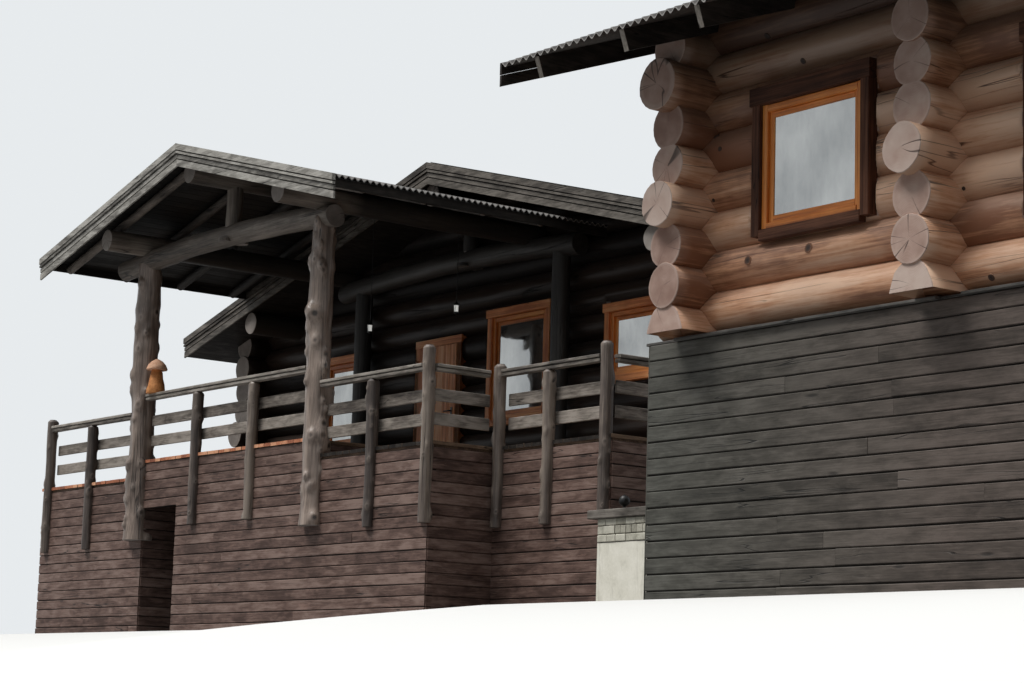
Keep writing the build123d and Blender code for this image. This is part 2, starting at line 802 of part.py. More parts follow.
beam_level = purlin_level(post_x[0]) - purlin_radius - beam_radius + purlin_seat
wall_truss_y = wing_front_outer - beam_radius - wall_post_gap
casing_edges = [
    (centre - width / 2 - casing_width, centre + width / 2 + casing_width)
    for centre, sill, width, height in front_wing_windows
]
wall_post_x = (
    casing_edges[0][1] + wall_post_radius + 15,
    casing_edges[1][1] + (casing_edges[2][0] - casing_edges[1][1]) / 3,
)
front_beam_path = tie_beam_path(deck_front, post_x, beam_ends)
wall_beam_path = tie_beam_path(wall_truss_y, wall_post_x, wall_beam_ends)

with BuildPart() as porch_tie_beams:
    bowed_log(front_beam_path, beam_radius)
    bowed_log(wall_beam_path, beam_radius)
save(porch_tie_beams, "porch_tie_beams")

with BuildPart() as porch_purlins:
    for x in (post_x[0], porch_ridge_x, post_x[1]):
        with BuildSketch(Plane.XZ.offset(-purlin_end)):
            with Locations((x, purlin_level(x))):
                Circle(purlin_radius)
        extrude(amount=-(wing_front_outer - fit - purlin_end))
    wing_space = gable_space(wing_ridge_x, wing_half_span, wing_under - 25, wing_pitch)
    across_y(wing_space, wing_gable_front - 5, 2000, mode=Mode.SUBTRACT)
    bowed_log(front_beam_path, beam_radius + fit, mode=Mode.SUBTRACT)
    bowed_log(wall_beam_path, beam_radius + fit, mode=Mode.SUBTRACT)
save(porch_purlins, "porch_purlins")

with BuildPart() as king_posts:
    for x, y, top in ((porch_ridge_x, deck_front, purlin_level(porch_ridge_x)),
                      (wing_ridge_x, wall_truss_y, wing_under - fit - wing_purlin_drop)):
        with BuildSketch(Plane.XY.offset(beam_level)):
            with Locations((x, y)):
                Circle(king_post_radius)
        extrude(amount=top - beam_level)
    bowed_log(front_beam_path, beam_radius + fit, mode=Mode.SUBTRACT)
    bowed_log(wall_beam_path, beam_radius + fit, mode=Mode.SUBTRACT)
    with BuildSketch(Plane.XZ.offset(-purlin_end)):
        with Locations((porch_ridge_x, purlin_level(porch_ridge_x))):
            Circle(purlin_radius + fit)
    extrude(amount=-(wing_front_outer - purlin_end), mode=Mode.SUBTRACT)
    lay_wing_purlins(wing_purlin_radius + fit, purlin_front, purlin_back - purlin_front,
                     mode=Mode.SUBTRACT)
save(king_posts, "king_posts")


def hang_on_deck(low, high, rise=0):
    """Cuts the back of posts flat below the floor, so that they sit on the deck's edge."""
    block((low[0], low[1], 0), (high[0], high[1], deck_level + rise + fit), mode=Mode.SUBTRACT)


with BuildPart() as porch_posts:
    post_foot = deck_level - post_drop
    post_length = beam_level + beam_radius - post_foot
    for x, radius in zip(post_x, post_radii):
        for share, girth in post_girths:
            with BuildSketch(Plane.XY.offset(post_foot + share * post_length)):
                with Locations((x, deck_front)):
                    Circle(radius * girth)
        loft()
    bowed_log(front_beam_path, beam_radius + fit, mode=Mode.SUBTRACT)
    block((post_x[0] - 400, deck_front - 400, beam_level - 20),
          (post_x[1] + 400, deck_front + 400, beam_level + 600), mode=Mode.SUBTRACT)
    hang_on_deck((post_x[0] - 400, deck_front - fit), (post_x[1] + 400, deck_front + 400))
save(porch_posts, "porch_posts")

with BuildPart() as wall_posts:
    for x in wall_post_x:
        with BuildSketch(Plane.XY.offset(deck_level + fit)):
            with Locations((x, wall_truss_y)):
                Circle(wall_post_radius)
        extrude(amount=beam_level - deck_level)
    bowed_log(wall_beam_path, beam_radius + fit, mode=Mode.SUBTRACT)
    block((wall_post_x[0] - 400, wall_truss_y - 400, beam_level - 20),
          (wall_post_x[1] + 400, wall_truss_y + 400, beam_level + 600), mode=Mode.SUBTRACT)
save(wall_posts, "wall_posts")

# Railing. Each side is one panel: posts hung on the wall, two guard boards and a capping

cap_top = deck_level + rail_height
cap_under = cap_top - 2 * rail_plank - fit
rail_post_foot = deck_level - rail_post_drop
post_line = rail_post_radius * 0.4


def rail_post(x, y, top, foot):
    with BuildSketch(Plane.XY.offset(foot)) as section:
        with Locations((x, y)):
            Circle(rail_post_radius)
    extrude(section.sketch, amount=top - foot)


def rail_boards_x(left, right, y, rise=0):
    """Guard boards and capping planks between two places along X; y is the wall's face."""
    floor = deck_level + rise
    for level in guard_board_levels:
        inner = y - post_line + rail_post_radius + fit
        block((left, inner, floor + level),
              (right, inner + guard_board_thickness, floor + level + guard_board_height))
    for step in (0, 1):
        low = cap_under + rise + step * (rail_plank + fit)
        block((left, y - post_line - rail_width / 2, low),
              (right, y - post_line + rail_width / 2, low + rail_plank))


with BuildPart() as deck_rail_front:
    left_post_x = wing_left + rail_post_radius + 130
    corner_post_x = deck_corner_x - rail_post_radius * 0.5
    rail_post(left_post_x, deck_front - post_line, cap_top + tall_posts[0], rail_post_foot)
    between_posts = (
        (left_post_x + 0.477 * (post_x[0] - left_post_x), 0),
        (post_x[0] + 0.35 * (post_x[1] - post_x[0]), platform_rise),
        (post_x[0] + 0.67 * (post_x[1] - post_x[0]), platform_rise),
        (post_x[1] + 0.53 * (corner_post_x - post_x[1]), 0),
    )
    for x, rise in between_posts:
        rail_post(x, deck_front - post_line, cap_under + rise - fit, rail_post_foot + rise)
    rail_post(corner_post_x, deck_front - post_line, cap_top + tall_posts[1], rail_post_foot)
    hang_on_deck((wing_left - 300, deck_front - fit), (deck_corner_x + 300, deck_front + 400))
    hang_on_deck((bay_left, deck_front - fit), (bay_right, deck_front + 400), platform_rise)
    bays = (
        (left_post_x + rail_post_radius + fit, post_x[0] - post_radii[0] - post_gap, 0),
        (bay_left, bay_right, platform_rise),
        (post_x[1] + post_radii[1] + post_gap, corner_post_x - rail_post_radius - fit, 0),
    )
    for left, right, rise in bays:
        rail_boards_x(left, right, deck_front, rise)
save(deck_rail_front, "deck_rail_front")

inner_post_x = deck_corner_x + 110
step_post_x = (deck_corner_x + 0.484 * deck_step_length, wing_right - 82)
return_front = deck_front - post_line + rail_post_radius + fit

with BuildPart() as deck_rail_return:
    rail_left = deck_corner_x + post_line - rail_post_radius - guard_board_thickness - fit
    for level in guard_board_levels:
        block((rail_left, return_front, deck_level + level),
              (rail_left + guard_board_thickness, step_front - 60,
               deck_level + level + guard_board_height))
    for step in (0, 1):
        low = cap_under + step * (rail_plank + fit)
        block((deck_corner_x + post_line - rail_width, return_front, low),
              (deck_corner_x + post_line, step_front - 105, low + rail_plank))
save(deck_rail_return, "deck_rail_return")

with BuildPart() as deck_rail_step:
    rail_post(inner_post_x, step_front - post_line, cap_top + tall_posts[2], rail_post_foot)
    rail_post(step_post_x[0], step_front - post_line, cap_under - fit, rail_post_foot)
    rail_post(step_post_x[1], step_front - post_line, cap_top + tall_posts[3],
              block_wall_height + cap_thickness + fit)
    hang_on_deck((deck_corner_x - 10, step_front - fit), (wing_right + 300, step_front + 400))
    rail_boards_x(inner_post_x + rail_post_radius + fit,
                  step_post_x[1] - rail_post_radius - fit, step_front)
save(deck_rail_step, "deck_rail_step")

with BuildPart() as deck_rail_side:
    side_x = wing_right - 60
    for level in guard_board_levels:
        block((side_x - guard_board_thickness, step_front + 100, deck_level + level),
              (side_x, wing_front_outer - fit, deck_level + level + guard_board_height))
    for step in (0, 1):
        low = cap_under + step * (rail_plank + fit)
        block((side_x - rail_width / 2, step_front + 100, low),
              (side_x + rail_width / 2, wing_front_outer - fit, low + rail_plank))
save(deck_rail_side, "deck_rail_side")

# Windows: outer casings, frames and glass

window_places = (
    [("x", house_x_lines[0], -1, window) for window in front_windows]
    + [("x", house_x_lines[1], 1, window) for window in back_windows]
    + [("y", house_y_lines[0], -1, side_window)]
    + [("y", house_y_lines[2], 1, side_window)]
    + [("x", wing_x_lines[0], -1, window) for window in front_wing_windows]
    + [("x", wing_x_lines[1], 1, window) for window in back_wing_windows]
    + [("y", wing_y_lines[0], -1, left_wing_window)]
)


def window_ring(place, outer_margin, inner_margin, near, far):
    """A rectangular ring in a wall's opening, from near to far of the wall's centre line."""
    direction, line, outward, (centre, sill, width, height) = place
    plane = Plane.XZ if direction == "x" else Plane.YZ
    turn = -1 if direction == "x" else 1
    start = line + outward * near
    with BuildSketch(plane.offset(turn * start)) as ring:
        with Locations((centre, sill + height / 2)):
            Rectangle(width + 2 * outer_margin, height + 2 * outer_margin)
            if inner_margin is not None:
                Rectangle(width + 2 * inner_margin, height + 2 * inner_margin,
                          mode=Mode.SUBTRACT)
    extrude(ring.sketch, amount=turn * outward * (far - near))


with BuildPart() as window_casings:
    for place in window_places:
        window_ring(place, casing_width, fit, log_radius + fit,
                    log_radius + casing_thickness)
save(window_casings, "window_casings")

with BuildPart() as window_frames:
    for place in window_places:
        window_ring(place, -fit, -frame_width, log_radius - frame_depth, log_radius)
save(window_frames, "window_frames")

with BuildPart() as window_glass:
    for place in window_places:
        window_ring(place, -frame_width - fit, None, log_radius - glass_inset,
                    log_radius - glass_inset + glass_thickness)
save(window_glass, "window_glass")

# Door on the deck: frame with outer casing, leaf on two hinges, handle

door_face = wing_front_outer - 2
over_door_level = wing_first_x + wing_low_rows * log_course - log_radius
door_foot = deck_level + door_gap
frame_left = door_left + fit
frame_right = door_right - fit
leaf_left = door_centre_x - door_width / 2 + door_gap
leaf_right = door_centre_x + door_width / 2 - door_gap

with BuildPart() as door_frame:
    with BuildSketch(Plane.XZ.offset(-(door_face + door_frame_depth))):
        Polygon((frame_left, deck_level + fit), (frame_left, over_door_level - fit),
                (frame_right, over_door_level - fit), (frame_right, deck_level + fit),
                (leaf_right + door_gap, deck_level + fit),
                (leaf_right + door_gap, door_top + door_gap),
                (leaf_left - door_gap, door_top + door_gap),
                (leaf_left - door_gap, deck_level + fit), align=None)
    extrude(amount=door_frame_depth)
    with BuildSketch(Plane.XZ.offset(-door_face)):
        Polygon((frame_left - 50, deck_level + fit), (frame_left - 50, door_top + 110),
                (frame_right + 50, door_top + 110), (frame_right + 50, deck_level + fit),
                (leaf_right + door_gap, deck_level + fit),
                (leaf_right + door_gap, door_top + door_gap),
                (leaf_left - door_gap, door_top + door_gap),
                (leaf_left - door_gap, deck_level + fit), align=None)
    extrude(amount=casing_thickness)
    hinge_x = leaf_left - door_gap / 2
    hinge_y = door_face - casing_thickness - hinge_radius
    for level in hinge_levels:
        with BuildSketch(Plane.XY.offset(door_foot + level)):
            with Locations((hinge_x, hinge_y)):
                Circle(hinge_radius)
        extrude(amount=hinge_length / 2)
        block((hinge_x - 60, hinge_y, door_foot + level),
              (hinge_x, hinge_y + hinge_radius, door_foot + level + hinge_length / 2))
save(door_frame, "door_frame")

with BuildPart() as door_leaf:
    leaf_face = door_face - casing_thickness
    block((leaf_left, leaf_face, door_foot), (leaf_right, leaf_face + door_thickness, door_top))
    for level in hinge_levels:
        low = door_foot + level + hinge_length / 2 + fit
        with BuildSketch(Plane.XY.offset(low)):
            with Locations((hinge_x, hinge_y)):
                Circle(hinge_radius)
        extrude(amount=hinge_length / 2)
        block((hinge_x, hinge_y, low), (hinge_x + 90, leaf_face, low + hinge_length / 2))
save(door_leaf, "door_leaf")

with BuildPart() as door_handle:
    handle_x = leaf_right - handle_inset
    block((handle_x - 20, leaf_face - 8 - fit, door_foot + handle_level - 90),
          (handle_x + 20, leaf_face - fit, door_foot + handle_level + 90))
    with BuildSketch(Plane.XZ.offset(-(leaf_face - 8 - fit))):
        with Locations((handle_x, door_foot + handle_level + 40)):
            Circle(10)
    extrude(amount=42)
    with BuildSketch(Plane.YZ.offset(handle_x + 8)):
        with Locations((leaf_face - 45, door_foot + handle_level + 40)):
            Circle(9)
    extrude(amount=-130)
save(door_handle, "door_handle")

# Low block wall with a timber cap, from the deck's corner to the house

block_wall_front = step_front - block_wall_forward

with BuildPart() as block_wall:
    block((wing_right + fit, block_wall_front, 0),
          (house_left - fit, block_wall_front + block_wall_thickness, block_wall_height))
save(block_wall, "block_wall")

with BuildPart() as block_wall_cap:
    block((wing_right - cap_lap, block_wall_front - cap_overhang, block_wall_height + fit),
          (house_left - fit, block_wall_front + block_wall_thickness + cap_overhang,
           block_wall_height + cap_thickness))
    block((wing_right - cap_lap - 10, step_front - fit, block_wall_height),
          (wing_right + fit, step_front + 400, block_wall_height + cap_thickness + 1),
          mode=Mode.SUBTRACT)
save(block_wall_cap, "block_wall_cap")
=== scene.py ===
import itertools
import json
import math

import bmesh
import bpy
import numpy as np
from mathutils import Matrix, Vector, noise
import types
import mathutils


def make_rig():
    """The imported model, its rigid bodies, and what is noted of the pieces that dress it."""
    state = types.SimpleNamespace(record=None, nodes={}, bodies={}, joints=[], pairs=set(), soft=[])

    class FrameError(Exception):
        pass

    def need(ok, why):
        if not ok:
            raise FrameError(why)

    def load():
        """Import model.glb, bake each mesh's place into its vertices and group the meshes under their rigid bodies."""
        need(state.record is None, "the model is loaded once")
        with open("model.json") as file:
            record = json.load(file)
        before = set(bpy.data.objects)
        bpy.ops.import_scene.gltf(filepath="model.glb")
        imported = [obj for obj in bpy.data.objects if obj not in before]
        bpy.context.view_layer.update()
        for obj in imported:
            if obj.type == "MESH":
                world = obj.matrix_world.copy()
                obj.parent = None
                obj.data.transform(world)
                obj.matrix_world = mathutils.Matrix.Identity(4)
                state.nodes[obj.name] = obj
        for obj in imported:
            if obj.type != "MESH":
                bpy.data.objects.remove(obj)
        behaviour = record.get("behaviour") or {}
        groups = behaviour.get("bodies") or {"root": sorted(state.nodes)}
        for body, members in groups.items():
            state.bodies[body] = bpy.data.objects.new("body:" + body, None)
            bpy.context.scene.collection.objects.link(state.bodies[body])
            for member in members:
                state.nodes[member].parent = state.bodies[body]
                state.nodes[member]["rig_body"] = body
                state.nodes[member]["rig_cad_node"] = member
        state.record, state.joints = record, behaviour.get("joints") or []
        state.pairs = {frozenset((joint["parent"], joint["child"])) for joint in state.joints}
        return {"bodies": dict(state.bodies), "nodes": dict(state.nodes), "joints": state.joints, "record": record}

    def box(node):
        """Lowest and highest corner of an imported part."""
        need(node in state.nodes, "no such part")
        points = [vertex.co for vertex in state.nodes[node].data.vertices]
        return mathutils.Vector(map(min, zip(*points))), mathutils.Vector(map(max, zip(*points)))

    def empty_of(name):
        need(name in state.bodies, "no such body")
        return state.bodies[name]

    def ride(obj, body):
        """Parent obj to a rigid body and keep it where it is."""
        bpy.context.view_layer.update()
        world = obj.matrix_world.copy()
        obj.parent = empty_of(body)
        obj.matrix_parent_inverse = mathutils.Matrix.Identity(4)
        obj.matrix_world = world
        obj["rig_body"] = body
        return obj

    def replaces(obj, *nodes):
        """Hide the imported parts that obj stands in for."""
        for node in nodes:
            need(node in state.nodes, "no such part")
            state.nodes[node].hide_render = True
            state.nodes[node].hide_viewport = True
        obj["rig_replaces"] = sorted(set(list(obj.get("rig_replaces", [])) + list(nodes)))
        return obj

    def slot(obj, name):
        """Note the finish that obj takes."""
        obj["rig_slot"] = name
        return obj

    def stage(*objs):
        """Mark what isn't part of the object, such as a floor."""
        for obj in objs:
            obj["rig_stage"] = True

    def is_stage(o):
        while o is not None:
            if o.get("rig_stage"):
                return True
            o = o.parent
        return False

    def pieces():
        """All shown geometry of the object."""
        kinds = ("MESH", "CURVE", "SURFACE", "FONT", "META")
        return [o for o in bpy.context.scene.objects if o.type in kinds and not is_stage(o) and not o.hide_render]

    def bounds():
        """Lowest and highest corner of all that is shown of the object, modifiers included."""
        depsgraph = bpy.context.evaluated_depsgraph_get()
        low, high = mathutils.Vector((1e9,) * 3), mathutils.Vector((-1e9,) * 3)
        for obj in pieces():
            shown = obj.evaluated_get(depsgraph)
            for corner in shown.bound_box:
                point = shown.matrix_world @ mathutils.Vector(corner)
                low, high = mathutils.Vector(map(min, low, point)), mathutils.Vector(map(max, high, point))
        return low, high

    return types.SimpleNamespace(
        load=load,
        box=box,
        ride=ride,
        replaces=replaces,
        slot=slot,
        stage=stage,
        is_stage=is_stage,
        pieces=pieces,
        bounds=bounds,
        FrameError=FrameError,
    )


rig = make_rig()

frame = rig.load()
cad_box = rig.bounds()
nodes = frame["nodes"]
rng = np.random.default_rng(7)


def lin(hexa):
    """A colour written as RRGGBB, as the shader's linear numbers."""
    out = []
    for i in (0, 2, 4):
        c = int(hexa[i:i + 2], 16) / 255
        out.append(c / 12.92 if c <= 0.04045 else ((c + 0.055) / 1.055) ** 2.4)
    return (*out, 1.0)


# Materials

class Nodes:
    """A node tree with short ways to add nodes."""

    def __init__(self, tree):
        self.t = tree

    def n(self, kind, ins=None, out=0, **attrs):
        """Adds a node, with values or other nodes' outputs for its inputs, and gives one output."""
        node = self.t.nodes.new("ShaderNode" + kind)
        for k, v in attrs.items():
            setattr(node, k, v)
        for k, v in (ins or {}).items():
            if isinstance(v, bpy.types.NodeSocket):
                self.t.links.new(v, node.inputs[k])
            else:
                node.inputs[k].default_value = v
        return node.outputs[out] if node.outputs else None

    def math(self, op, a, b=0.0):
        return self.n("Math", {0: a, 1: b}, operation=op)

    def add(self, a, b):
        return self.math("ADD", a, b)

    def sub(self, a, b):
        return self.math("SUBTRACT", a, b)

    def mul(self, a, b):
        return self.math("MULTIPLY", a, b)

    def off(self, a, level):
        """How far a value is from a level."""
        return self.math("ABSOLUTE", self.sub(a, level))

    def part(self, vec, k):
        """One coordinate of a vector."""
        return self.n("SeparateXYZ", {0: vec}, out=k)

    def xyz(self, *parts):
        return self.n("CombineXYZ", dict(enumerate(parts)))


class Mat(Nodes):
    """A node material."""

    def __init__(self, name, rough):
        self.m = bpy.data.materials.new(name)
        self.m.use_nodes = True
        super().__init__(self.m.node_tree)
        self.p = self.t.nodes["Principled BSDF"]
        self.give(Roughness=rough)

    def give(self, **inputs):
        """Sets the shader's inputs to plain values."""
        for k, v in inputs.items():
            self.p.inputs[k.replace("_", " ")].default_value = v

    def mix(self, fac, a, b, blend="MIX"):
        return self.n("Mix", {0: fac, 6: a, 7: b}, out=2, data_type="RGBA", blend_type=blend)

    def lay(self, col, over, fac, most=1.0):
        """Another colour over a colour, where fac says so."""
        return self.mix(self.mul(fac, most) if most < 1.0 else fac, col, lin(over))

    def span(self, v, lo, hi, to0=0.0, to1=1.0):
        return self.n("MapRange", {0: v, 1: lo, 2: hi, 3: to0, 4: to1})

    def ramp(self, fac, *stops):
        node = self.t.nodes.new("ShaderNodeValToRGB")
        self.t.links.new(fac, node.inputs[0])
        els = node.color_ramp.elements
        while len(els) < len(stops):
            els.new(0.5)
        for e, (pos, col) in zip(els, stops):
            e.position = pos
            e.color = lin(col)
        return node.outputs[0]

    def own(self, name="tint"):
        """A number that the mesh carries for each face or point."""
        return self.n("Attribute", out=2, attribute_name=name)

    def obj(self, scale=(1, 1, 1), shift=None):
        """Places in the object's own metres, scaled for a texture."""
        co = self.n("TexCoord", out=3)
        if shift is not None:
            co = self.n("VectorMath", {0: co, 1: shift}, operation="ADD")
        return self.n("Mapping", {0: co, 3: scale})

    def noise(self, vec, scale=1.0, detail=3.0, rough=0.55, dist=0.0):
        return self.n("TexNoise", {"Vector": vec, "Scale": scale, "Detail": detail,
                                   "Roughness": rough, "Distortion": dist})

    def fade(self, col, over, k, lo, hi, most):
        """Another colour that grows along axis k of the object."""
        return self.lay(col, over, self.span(self.part(self.n("TexCoord", out=3), k), lo, hi, 0.0, most))

    def eave_shade(self, col, z0, z1, most):
        """Painted shade under the eaves: darker up the wall, partly also the less weathered wood there."""
        return self.fade(col, "1c1410", 2, z0, z1, most)

    def end(self, col, height=None, bump=0.0, dist=0.0, rough=None):
        """Joins colour, relief and roughness to the shader, and gives the material."""
        relief = height and self.n("Bump", {"Height": height, "Strength": bump, "Distance": dist})
        for name, value in (("Base Color", col), ("Roughness", rough), ("Normal", relief)):
            if value:
                self.t.links.new(value, self.p.inputs[name])
        return self.m


def wood(name, axis, cols, fine=70, coarse=9, knot=1.0, crack=1.0, rough=0.62, wear=None,
         tint=0.6, bump=0.5, knot_scale=2.4, peel=0.0, marks=None, gloss=0.5, cloud=0.5, long=0.6,
         under=0.0, low_col=None, eaves=None, upper=None, deep=None, turn=None):
    """Timber with its grain along an axis: streaks, fine grain, knots, drying cracks and
    weathered patches, and a tone of its own for each log or board."""
    m = Mat(name, rough)
    m.give(Specular_IOR_Level=gloss)
    own = m.own()
    shift = m.xyz(m.mul(own, 37.0), m.mul(own, 11.0), m.mul(own, 23.0))

    def drawn(along, across):
        """Places for a texture drawn out along the grain."""
        scale = [across] * 3
        scale["xyz".index(axis)] = along
        return m.obj(tuple(scale), shift)

    streak = m.noise(drawn(long, coarse), 1, 5, 0.62, 0.4)
    grain = m.noise(drawn(2.6, fine), 1, 4, 0.7)
    patch = m.noise(m.obj((1, 1, 1), shift), 0.9, 4, 0.6)
    tone = m.add(m.mul(streak, 0.7), m.mul(grain, 0.45))
    tone = m.add(tone, m.mul(m.sub(own, 0.5), tint * 0.35))
    tone = m.add(tone, m.mul(m.sub(patch, 0.5), cloud))
    col = m.ramp(tone, (0.42, cols[0]), (0.57, cols[1]), (0.72, cols[2]))
    height = m.add(m.mul(grain, 0.5), m.mul(streak, 0.6))
    if knot:
        warp = m.mul(m.noise(drawn(2.0, 6.0), 1, 2), 0.16)
        at = m.n("VectorMath", {0: drawn(1.1, knot_scale), 1: m.xyz(warp, warp)}, operation="ADD")
        cell = m.n("TexVoronoi", {"Vector": at, "Scale": 1.0, "Randomness": 1.0})
        spot = m.span(cell, 0.05 * knot, 0.12 * knot, 1.0, 0.0)
        col = m.lay(col, cols[0], m.span(m.off(cell, 0.14 * knot), 0.0, 0.03, 0.5, 0.0), 0.5)
        col = m.lay(col, cols[3], spot, 0.85)
        height = m.sub(height, m.mul(spot, 0.8))
    if crack:
        line = m.noise(drawn(0.22, 6.0), 1, 3, 0.45, 0.15)
        gap = m.mul(m.span(m.off(line, 0.53), 0.0015, 0.008 * crack, 1.0, 0.0),
                    m.span(m.noise(drawn(0.6, 2.0), 1, 2), 0.46, 0.54))
        col = m.lay(col, cols[3], gap, 0.9)
        height = m.sub(height, m.mul(gap, 2.0))
    if peel:
        bare = m.noise(drawn(2.4, 14.0), 1, 6, 0.7)
        col = m.lay(col, wear, m.span(bare, 0.66 - 0.05 * peel, 0.72 - 0.05 * peel), 0.55)
    elif wear:
        col = m.lay(col, wear, m.span(m.noise(drawn(0.7, 3.0), 1, 5, 0.65), 0.5, 0.72), 0.6)
    if marks:
        mark = m.mul(m.own("mark"), m.span(streak, 0.3, 0.6, 0.6, 1.1))
        col = m.lay(col, marks, m.span(m.off(mark, 0.25), 0.0, 0.25, 1.0, 0.0), 0.4)
        col = m.lay(col, cols[3], m.span(mark, 0.45, 0.8), 0.9)
    facing = m.part(m.n("NewGeometry", out=1), 2) if under or upper else None
    # Painted shade: faces that turn down are darkened towards the shade colour.
    if under:
        col = m.lay(col, low_col or cols[3], m.span(facing, -0.8, 0.35, under, 0.0))
    # Painted highlight: faces that turn up are lightened, more where the grain is light.
    if upper:
        top_light = m.mul(m.span(facing, -0.1, 0.75, 0.0, 0.4), m.span(grain, 0.3, 0.6, 0.6, 1.0))
        col = m.lay(col, upper, top_light)
    # Painted shade under the eaves.
    if eaves:
        col = m.eave_shade(col, *eaves)
    # Painted shade: near black further back into the porch, along y.
    if deep:
        col = m.fade(col, "060505", 1, *deep)
    if turn:
        x0, x1, left, right = turn
        cast = m.mix(m.span(m.part(m.n("TexCoord", out=3), 0), x0, x1), (*left, 1.0), (*right, 1.0))
        col = m.mix(1.0, col, cast, "MULTIPLY")
    return m.end(col, height, bump, 0.006, m.span(tone, 0.35, 0.85, rough + 0.12, rough - 0.12))


def timbers(name, cols, axes="xyz", **how):
    """One timber with its grain along each of the axes."""
    return {ax: wood(f"{name}_{ax}", ax, cols, **how) for ax in axes}


def end_grain(name, cols, eaves=None):
    """A sawn log end: growth rings round the heart and cracks that run out from it."""
    m = Mat(name, 0.75)
    uv = m.n("TexCoord", out=2)
    own = m.own()
    shift = m.xyz(m.mul(own, 51.0), m.mul(own, 17.0))
    soft = m.noise(m.n("VectorMath", {0: uv, 1: shift}, operation="ADD"), 5, 3, 0.5)
    r = m.n("VectorMath", {0: uv}, out=1, operation="LENGTH")
    rings = m.math("SINE", m.mul(m.add(r, m.mul(soft, 0.03)), 6.283 / 0.011))
    angle = m.add(m.math("ARCTAN2", m.part(uv, 1), m.part(uv, 0)), m.mul(own, 40.0))
    spokes = m.noise(m.xyz(m.mul(angle, 0.5), m.mul(r, 0.25), m.mul(own, 60.0)), 1.0, 1, 0.4)
    gap = m.mul(m.span(m.off(spokes, 0.5), 0.0005, 0.0035, 1.0, 0.0), m.span(r, 0.0, 0.02))
    tone = m.add(m.mul(rings, 0.04), m.mul(soft, 0.45))
    tone = m.add(m.add(tone, m.mul(m.sub(own, 0.5), 0.25)), 0.25)
    col = m.ramp(tone, (0.3, cols[0]), (0.5, cols[1]), (0.7, cols[2]))
    col = m.lay(col, cols[2], m.span(r, 0.165, 0.19), 0.35)
    col = m.lay(col, cols[3], gap, 0.85)
    # Painted shade under the eaves.
    if eaves:
        col = m.eave_shade(col, *eaves)
    return m.end(col, m.sub(m.mul(rings, 0.1), m.mul(gap, 1.5)), 0.5, 0.005)


def knot_face(name, cols, eaves):
    """A branch sawn off close to the log: dark at the heart, lighter at the rim."""
    m = Mat(name, 0.7)
    r = m.n("VectorMath", {0: m.n("TexCoord", out=2)}, out=1, operation="LENGTH")
    r = m.add(r, m.mul(m.noise(m.obj(), 60, 3, 0.6), 0.012))
    col = m.ramp(m.mul(r, 20.0), (0.2, cols[0]), (0.62, cols[1]), (0.9, cols[2]))
    # Painted shade under the eaves, as on the logs.
    return m.end(m.eave_shade(col, *eaves), m.math("SINE", m.mul(r, 900.0)), 0.3, 0.002)


def plain(name, cols, scale=6.0, rough=0.7, bump=0.2, metal=0.0, stain=None, glow=0.0):
    """Stone, sheet or iron: a mottled surface."""
    m = Mat(name, rough)
    m.give(Metallic=metal)
    if glow:
        m.give(Emission_Color=(1, 1, 0.95, 1), Emission_Strength=glow)
    a = m.noise(m.obj(), scale, 6, 0.65)
    b = m.noise(m.obj(), scale * 7, 4, 0.7)
    tone = m.add(m.mul(a, 0.7), m.mul(b, 0.3))
    tone = m.add(tone, m.mul(m.sub(m.own(), 0.5), 0.4))
    col = m.ramp(tone, (0.3, cols[0]), (0.5, cols[1]), (0.7, cols[2]))
    if stain:
        col = m.lay(col, stain, m.span(m.noise(m.obj((5, 5, 0.7)), 1, 5, 0.7), 0.52, 0.7), 0.6)
    return m.end(col, m.add(a, b), bump, 0.004, m.span(b, 0.3, 0.7, rough + 0.08, rough - 0.12))


def glass_mat():
    """Window glass before a dark room: it mirrors what stands in front of it."""
    m = Mat("window_glass", 0.03)
    ripple = m.noise(m.obj(), 1.4, 2, 0.5)
    dust = m.noise(m.obj((1, 1, 0.4)), 9, 5, 0.7)
    col = m.ramp(m.add(m.mul(ripple, 0.7), m.mul(dust, 0.3)), (0.3, "97999a"), (0.65, "c4c5c3"))
    m.give(Metallic=0.82)
    return m.end(col, ripple, 0.15, 0.01, m.span(dust, 0.45, 0.75, 0.02, 0.08))


# Heights over which the house logs take painted shade under the eaves, and how dark it grows.
EAVES = (3.6, 4.75, 0.82)
log_mats = {
    kind: timbers(f"{kind}_log", cols, "xy", fine=50, coarse=11, knot=0.9, rough=0.45, tint=1.1, bump=0.6,
                  cloud=0.7, wear=wear, marks=wear, gloss=gloss, eaves=eaves, upper=upper, under=under,
                  low_col=low_col)
    for kind, cols, wear, gloss, eaves, upper, under, low_col in (
        # House: painted shade under the eaves, a painted highlight on faces that turn up, and painted shade, toward a
        # brown, on faces that turn down.
        ("house", ("8c5d43", "dba47e", "fad1b1", "21150f"), "dfbda6", 0.5, EAVES, "d9b49c", 0.6, "6f4327"),
        # Wing: near-black colours, a painted shade for logs in the shadow of both roofs, with painted shade on their
        # undersides too.
        ("wing", ("1a1513", "2c2420", "40352f", "0d0a09"), "2a2320", 0.12, None, None, 0.55, None))
}
# House log ends also take painted shade under the eaves.
house_end = end_grain("house_log_end", ("8e7063", "b69a8d", "d0bdb1", "2f2019"), (3.5, 5.0, 0.35))
wing_end = end_grain("wing_log_end", ("5f5852", "88807a", "a9a19a", "241e1b"))
log_ends = {"house": house_end, "wing": wing_end}
# Knot faces take the same painted shade under the eaves.
house_knot = knot_face("house_log_knot", ("21140e", "4a3124", "8a6148"), EAVES)
